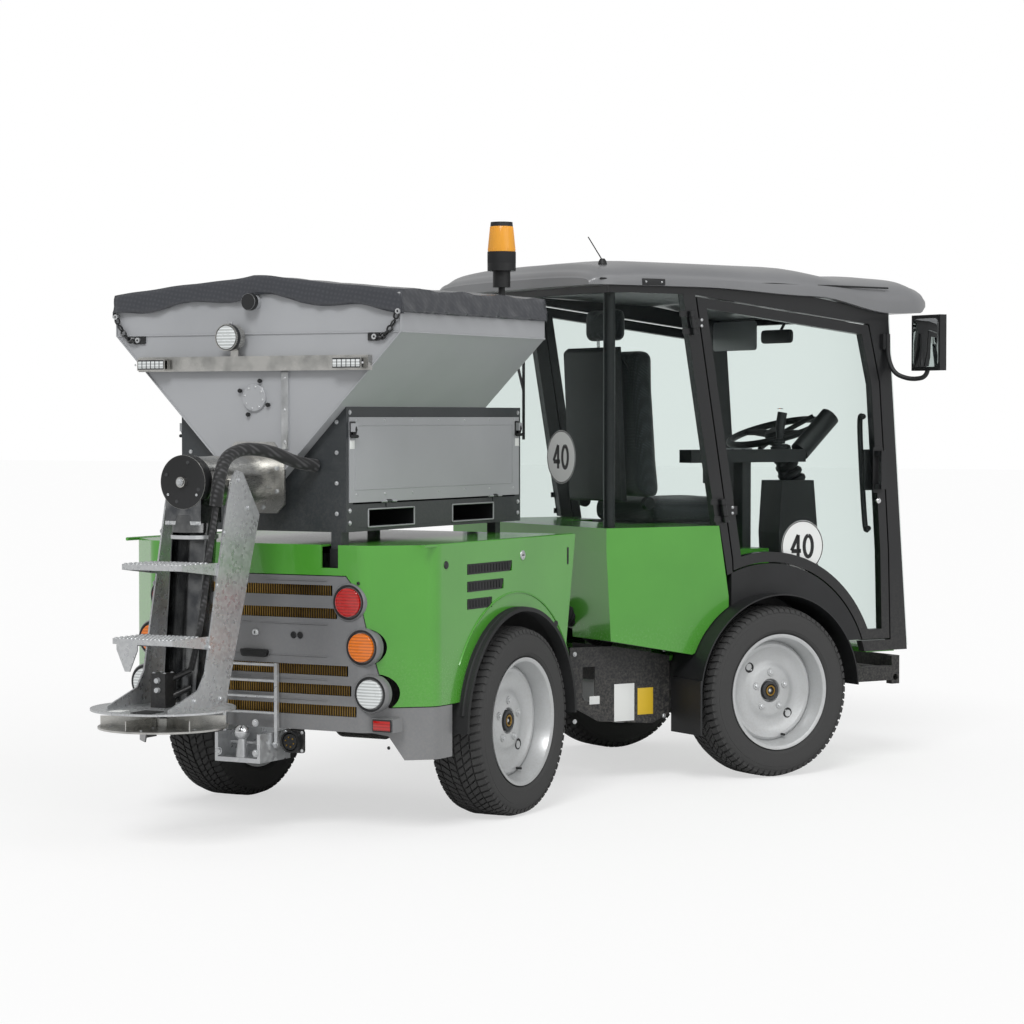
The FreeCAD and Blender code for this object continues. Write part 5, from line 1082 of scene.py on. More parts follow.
@dataclass
class HopperFittings:
    """Chains, lamps, inspection cover and edge strips on the hopper."""

    rear: float = -0.69
    half: float = 0.563

    def chain(self, shape: Shape, start: Point, end: Point, links: int, sag: float) -> None:
        """A short-link chain that hangs between two eyes.

        Args:
            shape: What it is added to.
            start: The upper eye.
            end: The lower eye.
            links: How many links.
            sag: How deep it hangs in its middle.
        """
        a, b = Vector(start), Vector(end)
        for i in range(links):
            t = (i + 0.5) / links
            centre = a.lerp(b, t) + Vector((0.0, 0.0, -sag * 4 * t * (1 - t)))
            ahead = (b - a) / links + Vector((0.0, 0.0, -sag * 4 * (1 - 2 * t) / links))
            self.link(shape, centre, ahead.normalized(), i % 2 == 1, (b - a).length / links)

    def link(self, shape: Shape, centre: Vector, ahead: Vector, turned: bool, pitch: float) -> None:
        """One oval link.

        Args:
            shape: What it is added to.
            centre: Its middle.
            ahead: Direction of the chain there.
            turned: True for the links that stand across.
            pitch: Length of chain for each link.
        """
        side = ahead.cross(Vector((1.0, 0.0, 0.0))).normalized()
        if turned:
            side = ahead.cross(side).normalized()
        long_half, wide_half = pitch * 0.62, 0.0085
        path = []
        for k in range(13):
            turn = math.tau * k / 12
            stretch = (long_half - wide_half) * (1 if math.cos(turn) > 0.001 else -1)
            path.append(
                centre + ahead * (math.cos(turn) * wide_half + stretch)
                + side * math.sin(turn) * wide_half)
        shape.tube([tuple(p) for p in path], 0.0032, BLACK_STEEL, 7)

    def chains(self) -> None:
        """A chain with an eyelet at each rear corner of the cover."""
        shape = Shape("cover_chains")
        for side in (1.0, -1.0):
            top = (self.rear - 0.012, side * (self.half - 0.005), 1.705)
            foot = (self.rear - 0.01, side * (self.half - 0.095), 1.625)
            self.chain(shape, top, foot, 7, 0.03)
            for spot in (top, foot):
                shape.lathe(
                    [(-0.004, 0.009), (0.004, 0.009), (0.006, 0.006), (0.006, 0.004), (-0.004, 0.004)],
                    spot, Axis.X, ZINC, 18, closed=True)
            shape.box(
                (self.rear - 0.008, self.rear - 0.001), sorted((side * 0.44, side * 0.485)),
                (1.612, 1.638), BLACK_STEEL, 0.003)
        shape.make(Section.REAR, None, "black_paint")

    def inspection_cover(self) -> None:
        """Round cover with small bolts, four knobs and the strip beside it."""
        shape = Shape("hopper_inspection_cover")
        x = self.rear - 0.006
        shape.lathe(
            [(0.0, 0.0), (-0.003, 0.0), (-0.003, 0.043), (-0.001, 0.0455), (0.006, 0.046)],
            (x, 0.0, 1.43), Axis.X, BASE_GREY, 48)
        for y, z in ring((0.0, 1.43), 0.036, 8, 0.2):
            shape.screw((x - 0.003, y, z), Axis.X, ZINC, 0.0045, -1.0)
        for y, z in ring((0.0, 1.43), 0.06, 4, 0.4):
            shape.lathe(
                [(0.0, 0.006), (-0.008, 0.0075), (-0.012, 0.006), (-0.012, 0.0)],
                (self.rear - 0.001, y, z), Axis.X, BLACK_PLASTIC, 16)
        shape.box((x - 0.0015, x), (-0.134, -0.108), (1.262, 1.518), ALUMINIUM, 0.0005)
        for z in frange(1.285, 1.495, 3):
            shape.screw((x - 0.0015, -0.121, z), Axis.X, ZINC, 0.0055, -1.0)
        shape.make(Section.REAR, None, "light_grey_paint")

    def lamps(self) -> None:
        """Work lamp on its bracket and the two flashers of the light bar."""
        shape = Shape("work_lamp_and_flashers")
        x, y, z = self.rear - 0.07, 0.067, 1.628
        shape.lathe(
            [
                (0.0, 0.0), (0.0, 0.041), (0.003, 0.044), (0.02, 0.0445), (0.034, 0.038), (0.046, 0.022),
                (0.048, 0.0)],
            (x, y, z), Axis.X, BLACK_PLASTIC, 40)
        shape.lathe([(-0.0015, 0.0), (-0.0015, 0.036), (0.0, 0.0385)], (x, y, z), Axis.X, CLEAR_LENS, 40)
        for dy, dz in ring((0.0, 0.0), 0.0205, 6):
            shape.lathe(
                [(-0.0028, 0.0), (-0.0028, 0.008), (-0.001, 0.0095)], (x, y + dy, z + dz), Axis.X,
                CLEAR_LENS, 16)
        shape.rod((x + 0.02, y + 0.012, z + 0.046), (x + 0.02, y - 0.012, z + 0.046), 0.006, ZINC, 12)
        for side in (1.0, -1.0):
            spread = sorted((side * 0.33, side * 0.442))
            shape.box(
                (self.rear - 0.0505, self.rear - 0.0305), spread, (1.5225, 1.5595), BLACK_PLASTIC, 0.004)
            for k in range(6):
                middle = side * (0.342 + 0.0176 * k)
                shape.box(
                    (self.rear - 0.052, self.rear - 0.05), (middle - 0.0072, middle + 0.0072),
                    (1.529, 1.553), CLEAR_LENS, 0.0015)
            shape.screw((self.rear - 0.0505, side * 0.448, 1.541), Axis.X, ZINC, 0.004, -1.0)
        shape.make(Section.REAR, None, "black_plastic")

    def edges(self) -> None:
        """Weld beads and folded edges of the hopper sheet, and the ridge tube's cap."""
        shape = Shape("hopper_folds")
        x = self.rear - 0.0015
        for side in (1.0, -1.0):
            shape.tube(
                [(x, side * 0.562, 1.768), (x, side * 0.562, 1.641), (x, side * 0.089, 1.165)], 0.0028,
                BASE_GREY, 8)
            shape.tube(
                [
                    (x + 0.004, side * 0.5635, 1.64), (0.285, side * 0.5635, 1.64),
                    (0.5505, side * 0.3185, 1.64)],
                0.003, BASE_GREY, 8)
        shape.tube([(x, -0.562, 1.64), (x, 0.562, 1.64)], 0.0026, BASE_GREY, 8)
        shape.lathe(
            [(0.0, 0.0), (0.0, 0.0255), (0.004, 0.0285), (0.02, 0.0285), (0.02, 0.0265)],
            (self.rear - 0.0415, 0.0, 1.745), Axis.X, BLACK_PLASTIC, 28)
        shape.make(Section.REAR, None, "light_grey_paint")

    def build(self) -> None:
        """Every fitting."""
        self.chains()
        self.inspection_cover()
        self.lamps()
        self.edges()


# ---- Rear body ----
@dataclass
class RearPanel:
    """Lamps, fins, lock, handle, grid and plates of the grey rear panel."""

    face: float = -0.69
    lamp_x: float = -0.701
    lamps: tuple = ((0.364, 0.765, "red"), (0.414, 0.62, "amber"), (0.446, 0.47, "white"))
    slots: tuple = ((0.3, 0.801), (0.318, 0.726), (0.36, 0.54), (0.372, 0.476), (0.392, 0.409))

    def lens(self, shape: Shape, y: float, z: float, colour: Finish) -> None:
        """A round lamp: bezel and a domed lens with rings.

        Args:
            shape: What it is added to.
            y: Its middle across the machine.
            z: Its height.
            colour: The lens's finish.
        """
        shape.lathe(
            [(0.004, 0.0505), (-0.001, 0.0515), (-0.001, 0.0575), (0.003, 0.06), (0.012, 0.0602)],
            (self.lamp_x + 0.006, y, z), Axis.X, BLACK_PLASTIC, 48)
        shape.lathe(
            [
                (0.006, 0.047), (-0.002, 0.0465), (-0.0035, 0.044), (-0.0045, 0.038), (-0.0042, 0.036),
                (-0.0058, 0.03), (-0.0055, 0.028), (-0.0072, 0.018), (-0.0072, 0.0)],
            (self.lamp_x + 0.001, y, z), Axis.X, colour, 48)
        for k in range(2):
            shape.screw((self.lamp_x - 0.003, y + (0.028, -0.028)[k], z), Axis.X, BLACK_PLASTIC, 0.003, -1.0)

    def rear_lamps(self) -> None:
        """Six round lamps and two reflectors."""
        shape = Shape("round_rear_lamps")
        colours = {"red": RED_LENS, "amber": AMBER_LENS, "white": CLEAR_LENS}
        for side in (1.0, -1.0):
            for y, z, colour in self.lamps:
                self.lens(shape, side * y, z, colours[colour])
            shape.box(
                (-0.6965, -0.694), sorted((side * 0.458, side * 0.522)), (0.354, 0.386), RED_LENS, 0.0012)
            shape.box(
                (-0.6958, -0.692), sorted((side * 0.454, side * 0.526)), (0.35, 0.39), BLACK_PLASTIC,
                0.002)
        piece = shape.make(Section.REAR, None, "lamp_lens")
        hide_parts("rear_lamps")
        housings = Shape("lamp_housings")
        for side in (1.0, -1.0):
            for y, z, _ in self.lamps:
                housings.lathe(
                    [(-0.003, 0.052), (-0.004, 0.0585), (0.0, 0.062), (0.012, 0.064), (0.012, 0.06)],
                    (-0.692, side * y, z), Axis.X, PANEL_GREY, 48, closed=True)
        housings.make(Section.REAR, None, "grey_moulding")

    def fins(self) -> None:
        """Fine cooler fins that show through the panel's slots, in front of a thin black sheet painted as the
        shade behind them.
        """
        shape = Shape("cooler_fins")
        for half, z in self.slots:
            width = half - 0.012
            # Painted shade: a thin black sheet behind each slot's fins stands for the dark depth of the
            # cooler.
            shape.box((-0.679, -0.678), (-width, width), (z - 0.016, z + 0.016), BLACK_STEEL, 0.0)
            for y in frange(-width, width, int(width * 2 / 0.009)):
                shape.box((-0.6835, -0.679), (y - 0.0012, y + 0.0012), (z - 0.0165, z + 0.0165), BRASS, 0.0)
        shape.make(Section.REAR, None, "dark_paint")

    def lock_and_handle(self) -> None:
        """Centre lock with a black bar painted as the shade of its key slot, black pull handle and the
        panel's folded seams.
        """
        shape = Shape("panel_lock_and_handle")
        x = self.face - 0.004
        shape.lathe(
            [(0.0, 0.0), (-0.004, 0.0), (-0.004, 0.009), (-0.001, 0.012), (0.006, 0.0125)],
            (x, 0.0, 0.655), Axis.X, ZINC, 28)
        # Painted shade: a black bar on the lock's face stands for its key slot.
        shape.box((x - 0.0055, x - 0.0035), (-0.0012, 0.0012), (0.65, 0.66), BLACK_STEEL, 0.0003)
        shape.slab(
            rounded_outline(
                [(-0.055, 0.6), (0.055, 0.6), (0.048, 0.575), (-0.048, 0.575)], 0.008), Axis.X, x
            - 0.012, x + 0.002, BLACK_PLASTIC, 0.003)
        shape.slab(
            rounded_outline(
                [(-0.046, 0.594), (0.046, 0.594), (0.04, 0.581), (-0.04, 0.581)], 0.005), Axis.X, x
            - 0.0135, x - 0.01, LINER_RUBBER, 0.001)
        for side in (1.0, -1.0):
            for z in (0.833, 0.69, 0.585, 0.51, 0.442):
                shape.tube([(x + 0.002, side * 0.02, z), (x + 0.002, side * 0.28, z)], 0.0012, PANEL_GREY, 6)
            for dy in (0.15, 0.176):
                cut = [(-0.6945, 0.0)] + [(-0.6945, 0.01)] + [(-0.6925, 0.0115)]
                shape.lathe(cut, (0.0, side * dy, 0.652), Axis.X, BLACK_PLASTIC, 24)
            shape.screw((x + 0.002, side * 0.4, 0.828), Axis.X, BLACK_PLASTIC, 0.006, -1.0)
            shape.screw((x + 0.002, side * 0.515, 0.3), Axis.X, BLACK_PLASTIC, 0.006, -1.0)
        shape.make(Section.REAR, None, "black_plastic")

    def tow_gear(self) -> None:
        """Seven-pin socket, bolted plates and the hitch's fittings."""
        shape = Shape("tow_socket_and_plates")
        x, y, z = -0.712, -0.145, 0.3
        shape.lathe(
            [(0.03, 0.03), (0.004, 0.03), (0.0, 0.033), (0.0, 0.035), (0.008, 0.036), (0.03, 0.034)],
            (x, y, z), Axis.X, BLACK_PLASTIC, 32, closed=True)
        shape.lathe([(0.0, 0.0), (0.0, 0.026), (0.004, 0.029)], (x + 0.004, y, z), Axis.X, BLACK_PLASTIC, 32)
        for dy, dz in ring((0.0, 0.0), 0.016, 6, 0.3):
            shape.lathe(
                [(0.0, 0.0), (-0.003, 0.0), (-0.003, 0.0025), (0.001, 0.0028)],
                (x + 0.004, y + dy, z + dz), Axis.X, BRASS, 10)
        shape.slab(
            rounded_box((y - 0.04, z - 0.038), (y + 0.04, z + 0.038), 0.01), Axis.X, x
            + 0.028, x + 0.036, BLACK_STEEL)
        for dy in (-0.032, 0.032):
            for dz in (-0.03, 0.03):
                shape.bolt((x + 0.028, y + dy, z + dz), Axis.X, ZINC, 0.008, -1.0)
        for side in (1.0, -1.0):
            for z in (0.268, 0.368):
                shape.bolt((-0.8005, side * 0.072, z), Axis.X, ZINC, 0.017, -1.0)
        shape.lathe(
            [
                (0.0, 0.012), (0.006, 0.014), (0.018, 0.022), (0.03, 0.0253), (0.042, 0.022),
                (0.052, 0.012), (0.0535, 0.0)],
            (-0.772, 0.0, 0.3025), Axis.Z, CHROME, 36)
        shape.make(Section.REAR, None, "galvanised")

    def build(self) -> None:
        """Every part of the panel."""
        self.rear_lamps()
        self.fins()
        self.lock_and_handle()
        self.tow_gear()


@dataclass
class HoodTrim:
    """Vents, locks, arch lips and seams on the green body."""

    side: float = 0.6
    arch: float = 0.392
    centre_z: float = 0.325

    def vents(self, shape: Shape) -> None:
        """Three black louvres on each side."""
        for top, bottom, start, end in (
            (0.878, 0.843, -0.33, -0.02), (0.82, 0.785, -0.33, -0.08), (0.762, 0.727, -0.33, -0.16)):
            outline = rounded_outline(
                [(start, bottom), (end - 0.016, bottom), (end, top), (start, top)], 0.01)
            shape.slab(outline, Axis.Y, self.side - 0.004, self.side + 0.0015, BLACK_PLASTIC, 0.001)
            for x in frange(start + 0.018, end - 0.03, int((end - start) / 0.022)):
                shape.box(
                    (x - 0.0025, x + 0.0025), (self.side, self.side + 0.004),
                    (bottom + 0.005, top - 0.005), BLACK_PLASTIC, 0.001)

    def fittings(self, shape: Shape) -> None:
        """Round plugs, the lock, a vertical slot and the moulded seam lines; the lock's key slot and the
        vertical slot are black pieces painted as the shade inside them.
        """
        y = self.side
        for x, z, radius in ((-0.47, 0.882, 0.011), (0.3, 0.64, 0.01)):
            shape.lathe(
                [(-0.002, radius + 0.003), (0.002, radius + 0.002), (0.004, radius), (0.0045, 0.0)],
                (x, y, z), Axis.Y, BLACK_PLASTIC, 24)
        shape.lathe(
            [(-0.002, 0.017), (0.003, 0.016), (0.004, 0.011), (0.002, 0.01), (0.002, 0.0)],
            (0.055, y, 0.892), Axis.Y, ZINC, 28)
        # Painted shade: a black bar on the lock stands for its key slot.
        shape.box((0.049, 0.061), (y + 0.0015, y + 0.005), (0.89, 0.894), BLACK_STEEL, 0.0005)
        # Painted shade: the vertical slot is a black insert, not an opening.
        shape.slab(
            rounded_box((0.385, 0.845), (0.397, 0.905), 0.005), Axis.Y, y
            - 0.003, y + 0.0012, BLACK_PLASTIC, 0.0005)

    def arch_lip(self, shape: Shape) -> None:
        """A rubber lip that follows the wheel arch, and the flare line above it."""
        y = self.side + 0.016
        lip, line = [], []
        for turn in frange(math.radians(8.0), math.radians(172.0), 40):
            lip.append((self.arch * math.cos(turn), y, self.centre_z + (self.arch - 0.006) * math.sin(turn)))
        for turn in frange(math.radians(24.0), math.radians(150.0), 34):
            radius = self.arch + 0.05
            line.append(
                (radius * math.cos(turn), self.side + 0.0005, self.centre_z + radius * math.sin(turn)))
        shape.tube(lip, 0.0075, LINER_RUBBER, 10)
        shape.tube(line, 0.0035, GREEN, 8)

    def build(self) -> None:
        """Both sides and the deck's seam."""
        shape = Shape("hood_vents_and_trim")
        self.vents(shape)
        self.fittings(shape)
        self.arch_lip(shape)
        shape.tube([(-0.6, 0.5915, 0.9475), (0.44, 0.5915, 0.9475)], 0.006, GREEN, 10)
        shape.mirror()
        shape.make(Section.REAR, None, "black_plastic")


# ---- Spreader ----
@dataclass
class SpreaderBase:
    """Latches, labels, screws and pocket frames of the grey base."""

    half: float = 0.327
    cover: float = 0.3313
    rear: float = -0.646
    pockets: tuple = ((-0.512, -0.215), (0.044, 0.337))

    def latch(self, shape: Shape, x: float) -> None:
        """A rubber T-latch in its bracket."""
        y = self.cover
        shape.slab(
            rounded_box((x - 0.017, 1.3), (x + 0.017, 1.352), 0.004), Axis.Y, y, y
            + 0.003, BLACK_STEEL, 0.0006)
        shape.tube(
            [(x, y + 0.006, 1.345), (x, y + 0.014, 1.325), (x, y + 0.008, 1.306)], 0.0065, LINER_RUBBER,
            10)
        shape.rod((x - 0.02, y + 0.009, 1.303), (x + 0.02, y + 0.009, 1.303), 0.0055, LINER_RUBBER, 12)
        for z in (1.308, 1.344):
            shape.screw((x + 0.011, y + 0.003, z), Axis.Y, ZINC, 0.0032)

    def covers(self) -> None:
        """Latches, a bare label and edge screws, on each cover's own body."""
        for side in ("left", "right"):
            shape = Shape("cover_latches_%s" % side)
            y = self.cover
            for x in (-0.617, 0.507):
                self.latch(shape, x)
                shape.box((x - 0.015, x + 0.015), (y, y + LABEL), (1.262, 1.29), WHITE_PLATE, 0.0002)
            for x in frange(-0.59, 0.48, 7):
                shape.screw((x, y, 1.356), Axis.Y, ZINC, 0.0042)
                shape.screw((x, y, 1.112), Axis.Y, ZINC, 0.0042)
            outline = [(-0.6, 1.128), (0.47, 1.128), (0.47, 1.338), (-0.6, 1.338)]
            shape.tube([(x, y + 0.0002, z) for x, z in outline + outline[:1]], 0.0014, BASE_GREY, 6)
            if side == "right":
                shape.flip()
            shape.make(Section.REAR, "spreader_cover_" + side, "light_grey_paint")

    def frame_trim(self) -> None:
        """Bolts on the posts, rims round the fork pockets and bolts behind."""
        shape = Shape("base_bolts_and_rims")
        for start, end in self.pockets:
            inner = rounded_box((start, 1.003), (end, 1.062), 0.003, 2)
            path = [(x, self.half + 0.001, z) for x, z in inner]
            shape.tube(path + path[:1], 0.0028, BASE_GREY, 6)
        for x in (-0.626, 0.52):
            for z in (1.02, 1.06, 1.382):
                shape.bolt((x, self.half, z), Axis.Y, ZINC, 0.011)
        shape.mirror()
        for y in (-0.29, 0.29):
            for z in (1.05, 1.15, 1.25, 1.35):
                shape.bolt((self.rear, y, z), Axis.X, ZINC, 0.01, -1.0)
        shape.make(Section.REAR, None, "galvanised")

    def build(self) -> None:
        """Covers and frame."""
        self.covers()
        self.frame_trim()


@dataclass
class SpreaderTail:
    """Auger cap, carrier bolts, guard, blades, steps' teeth and the motor's fittings."""

    auger_z: float = 1.16
    disc_x: float = -1.21

    def auger(self) -> None:
        """Cap with slot marks and nut, and the octagonal flange's bolts."""
        shape = Shape("auger_cap_and_flange_bolts")
        shape.lathe(
            [
                (-0.0025, 0.0), (-0.0025, 0.078), (0.0, 0.0855), (0.004, 0.0865), (0.038, 0.0865),
                (0.041, 0.0845), (0.041, 0.081)],
            (-1.1, 0.0, self.auger_z), Axis.X, BLACK_PLASTIC, 56)
        for turn in (0.35, 1.9, 3.5, 5.05):
            y, z = 0.066 * math.cos(turn), self.auger_z + 0.066 * math.sin(turn)
            shape.lathe(
                [(-0.004, 0.0), (-0.004, 0.0055), (-0.002, 0.0065)], (-1.1005, y, z), Axis.X, CASTING, 14)
        shape.bolt((-1.1165, 0.0, self.auger_z), Axis.X, ZINC, 0.017, -1.0)
        for y, z in ring((0.0, self.auger_z), 0.098, 8, math.radians(22.5)):
            shape.bolt((-0.6985, y, z), Axis.X, ZINC, 0.011, -1.0)
        for x in (-0.74, -0.94):
            shape.lathe(
                [(-0.0015, 0.0803), (-0.0015, 0.0815), (0.0015, 0.0815), (0.0015, 0.0803)],
                (x, 0.0, self.auger_z), Axis.X, STAINLESS, 56, closed=True)
        shape.make(Section.REAR, None, "stainless")

    def carrier(self) -> None:
        """Bolts down the stringers, folded edges and the chute's clamp."""
        shape = Shape("stringer_bolts_and_clamp")
        spots = (
            (-0.965, 1.165), (-0.912, 1.075), (-1.045, 1.0), (-1.085, 0.835), (-1.128, 0.64),
            (-1.21, 0.478), (-1.07, 0.475))
        for x, z in spots:
            shape.bolt((x, 0.121, z), Axis.Y, ZINC, 0.012)
        shape.mirror()
        for z in (1.03, 1.12):
            shape.box((-1.1005, -1.098), (-0.069, 0.069), (z - 0.006, z + 0.006), ZINC, 0.001)
            for y in (-0.055, 0.055):
                shape.bolt((-1.1005, y, z), Axis.X, ZINC, 0.009, -1.0)
        shape.lathe(
            [(-0.006, 0.0725), (-0.006, 0.0765), (0.006, 0.0765), (0.006, 0.0725)], (-1.0365, 0.0, 0.985),
            Axis.Z, ZINC, 48, closed=True)
        shape.make(Section.REAR, None, "galvanised")

    def guard(self) -> None:
        """Rolled rim of the guard, a rubber pad, a bare label and the motor's fittings."""
        shape = Shape("guard_rim_and_motor_fittings")
        shape.lathe(
            [(-0.0032, 0.2255), (-0.0032, 0.2285), (0.0032, 0.2285), (0.0032, 0.2255)],
            (self.disc_x, 0.0, 0.451), Axis.Z, ZINC_SHEET, 96, closed=True)
        shape.box((-1.41, -1.33), (-0.09, -0.02), (0.4541, 0.457), LINER_RUBBER, 0.001)
        shape.box((-1.4, -1.345), (0.03, 0.075), (0.4541, 0.4548), WHITE_PLATE, 0.0002)
        for y in (-0.02, 0.02):
            for x in (self.disc_x - 0.02, self.disc_x + 0.02):
                shape.bolt((x, y, 0.562), Axis.Z, ZINC, 0.008)
        for z in (0.51, 0.54):
            shape.lathe(
                [(0.0, 0.01), (0.01, 0.01), (0.012, 0.0085), (0.02, 0.0085), (0.02, 0.0)],
                (self.disc_x - 0.028, 0.0, z), Axis.X, ZINC, 6)
            shape.lathe(
                [(0.0, 0.0), (-0.01, 0.0), (-0.01, 0.008), (0.0, 0.01)], (self.disc_x - 0.028, 0.0, z),
                Axis.X, ZINC, 16)
        shape.make(Section.REAR, None, "galvanised")

    def blades(self) -> None:
        """Flanges, bolts and hub of the spinner, turning with it."""
        shape = Shape("spinner_blade_flanges")
        x = self.disc_x
        shape.lathe(
            [(0.0, 0.0), (0.0, 0.034), (0.008, 0.034), (0.014, 0.024), (0.014, 0.0)], (x, 0.0, 0.3945),
            Axis.Z, STAINLESS, 32)
        for turn in range(6):
            spin = math.tau * turn / 6 + 0.2
            for reach in (0.075, 0.165):
                shape.bolt((x + reach * math.cos(spin), reach * math.sin(spin), 0.3947), Axis.Z, ZINC, 0.009)
        shape.lathe(
            [(-0.003, 0.2025), (-0.003, 0.205), (0.003, 0.205), (0.003, 0.2025)], (x, 0.0, 0.3935),
            Axis.Z, STAINLESS, 96, closed=True)
        shape.make(Section.REAR, "spinner", "stainless")

    def steps(self) -> None:
        """Rows of pressed teeth and drain holes on the treads."""
        shape = Shape("step_teeth")
        for start, end, top in ((-1.262, -1.125, 0.905), (-1.312, -1.175, 0.675)):
            for y in frange(-0.105, 0.105, 15):
                for x in frange(start, end, 6):
                    shape.lathe(
                        [
                            (0.0, 0.0062), (0.0022, 0.0052), (0.0034, 0.0038), (0.0026, 0.0026),
                            (0.0004, 0.0)],
                        (x, y, top), Axis.Z, ZINC_SHEET, 10)
        shape.make(Section.REAR, None, "galvanised_sheet")

    def build(self) -> None:
        """Every part of the tail."""
        self.auger()
        self.carrier()
        self.guard()
        self.blades()
        self.steps()


@dataclass
class Beacon:
    """The amber warning beacon: ribbed lens on a rubber foot."""

    x: float = 0.576
    y: float = -0.23

    def build(self) -> None:
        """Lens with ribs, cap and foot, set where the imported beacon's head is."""
        shape = Shape("beacon_lens_and_foot")
        centre = (self.x, self.y, 0.0)
        foot = [(1.9, 0.02), (1.9, 0.036), (1.906, 0.05), (1.93, 0.0522), (1.968, 0.0522), (1.9703, 0.05)]
        shape.lathe(foot, centre, Axis.Z, LINER_RUBBER, 48)
        lens = [
            (1.97, 0.0503), (1.985, 0.0502), (2.03, 0.0455), (2.062, 0.0415), (2.072, 0.036),
            (2.0782, 0.022), (2.0783, 0.0)]
        shape.lathe(lens, centre, Axis.Z, BEACON_LENS, 56)
        for turn in range(40):
            spin = math.tau * turn / 40
            low = (self.x + 0.0504 * math.cos(spin), self.y + 0.0504 * math.sin(spin), 1.975)
            high = (self.x + 0.0418 * math.cos(spin), self.y + 0.0418 * math.sin(spin), 2.06)
            shape.rod(low, high, 0.0011, BEACON_LENS, 6, 0.0)
        shape.make(Section.REAR, None, "beacon_lens")


# ---- Cab ----
# Strokes of the two figures on the speed sign, in a cell one unit high.
FIGURES = {
    "4": [[(0.42, 0.0), (0.42, 1.0)], [(0.42, 1.0), (0.0, 0.32)], [(0.0, 0.3), (0.6, 0.3)]],
    "0": [[
        (0.3 + 0.26 * math.sin(math.tau * k / 20), 0.5 + 0.46 * math.cos(math.tau * k / 20))
        for k in range(21)]]}


@dataclass
class SpeedSign:
    """A round speed sign: white field, thin black ring and black figures, stuck to a pane."""

    name: str
    centre: tuple[float, float, float]
    right: tuple[float, float, float]
    out: tuple[float, float, float]
    body: str
    radius: float = 0.1

    def disc(self, shape: Shape, inner: float, outer: float, level: float, finish: Finish) -> None:
        """A flat ring, or a disc where inner is 0.

        Args:
            shape: What it is added to.
            inner: Its inner radius.
            outer: Its outer radius.
            level: How far it stands off the pane.
            finish: Its ink.
        """
        right, out = Vector(self.right), Vector(self.out)
        up = Vector((0.0, 0.0, 1.0))
        base = Vector(self.centre) + out * level
        verts, faces = [], []
        for x, y in ring((0.0, 0.0), 1.0, 64):
            verts.append(base + right * x * outer + up * y * outer)
            verts.append(base + right * x * inner + up * y * inner)
        for k in range(64):
            a, b = 2 * k, 2 * ((k + 1) % 64)
            faces.append((a, b, b + 1, a + 1) if inner else (a, b, 128))
        if not inner:
            verts.append(base)
        shape.add([tuple(v) for v in verts], faces, finish)

    def stroke(self, shape: Shape, points: list, offset: float) -> None:
        """One stroke of a figure as a flat band.

        Args:
            shape: What it is added to.
            points: The stroke's middle line in its cell.
            offset: Shift of the cell along the sign.
        """
        right, out, up = Vector(self.right), Vector(self.out), Vector((0.0, 0.0, 1.0))
        size = self.radius * 0.88
        wide = self.radius * 0.078
        path = [Vector(((x + offset) * size * 0.86, (y - 0.5) * size)) for x, y in points]
        left_side, right_side = [], []
        for i, spot in enumerate(path):
            ahead = (path[min(i + 1, len(path) - 1)] - path[max(i - 1, 0)]).normalized()
            across = Vector((-ahead.y, ahead.x)) * wide
            left_side.append(spot + across)
            right_side.append(spot - across)
        base = Vector(self.centre) + out * 0.0009
        verts = [tuple(base + right * p.x + up * p.y) for p in left_side + right_side]
        count = len(path)
        faces = [(i, i + 1, count + i + 1, count + i) for i in range(count - 1)]
        shape.add(verts, faces, BLACK_INK)

    def build(self) -> None:
        """Field, ring and figures."""
        shape = Shape(self.name)
        self.disc(shape, 0.0, self.radius, 0.0004, WHITE_PLATE)
        self.disc(shape, self.radius * 0.945, self.radius * 0.985, 0.0007, BLACK_INK)
        for figure, offset in (("4", -0.7), ("0", 0.06)):
            for points in FIGURES[figure]:
                self.stroke(shape, points, offset)
        shape.make(Section.FRONT, self.body, "light_grey_paint")


@dataclass
class Doors:
    """Hinge screws, handle and grab bar, one set on each door's body."""

    half: float = 0.56
    hinges: tuple = ((1.437, 0.573, 1.718), (1.581, 0.573, 1.015))

    def set_of(self, shape: Shape) -> None:
        """The left door's parts."""
        y = self.half
        for x, _, z in self.hinges:
            for dz in (-0.011, 0.011):
                shape.screw((x + 0.044, y + 0.006, z + dz), Axis.Y, ZINC, 0.006)
        shape.slab(
            rounded_box((2.3, 1.07), (2.35, 1.25), 0.012), Axis.Y, y, y + 0.004, BLACK_PLASTIC, 0.0015)
        shape.lathe(
            [(0.0, 0.011), (0.007, 0.011), (0.009, 0.009), (0.009, 0.0)], (2.325, y + 0.002, 1.04),
            Axis.Y, CHROME, 24)
        shape.tube(
            [
                (2.318, y - 0.045, 0.93), (2.322, y - 0.075, 0.96), (2.3, y - 0.08, 1.33),
                (2.29, y - 0.045, 1.37)],
            0.011, BLACK_PLASTIC, 12, 6)
        shape.box((2.285, 2.35), (y - 0.047, y - 0.034), (1.08, 1.24), BLACK_PLASTIC, 0.004)

    def build(self) -> None:
        """Left and right sets."""
        for side in ("left", "right"):
            shape = Shape("door_fittings_" + side)
            self.set_of(shape)
            if side == "right":
                shape.flip()
            shape.make(Section.FRONT, "door_" + side, "black_plastic")
        SpeedSign(
            "speed_sign_door", (1.97, -0.5462, 0.87), (1.0, 0.0, 0.0), (0.0, -1.0, 0.0),
            "door_right").build()
        SpeedSign(
            "speed_sign_window", (1.0475, -0.27, 1.217), (0.0, -1.0, 0.0), (-1.0, 0.0, 0.0),
            "front_section").build()


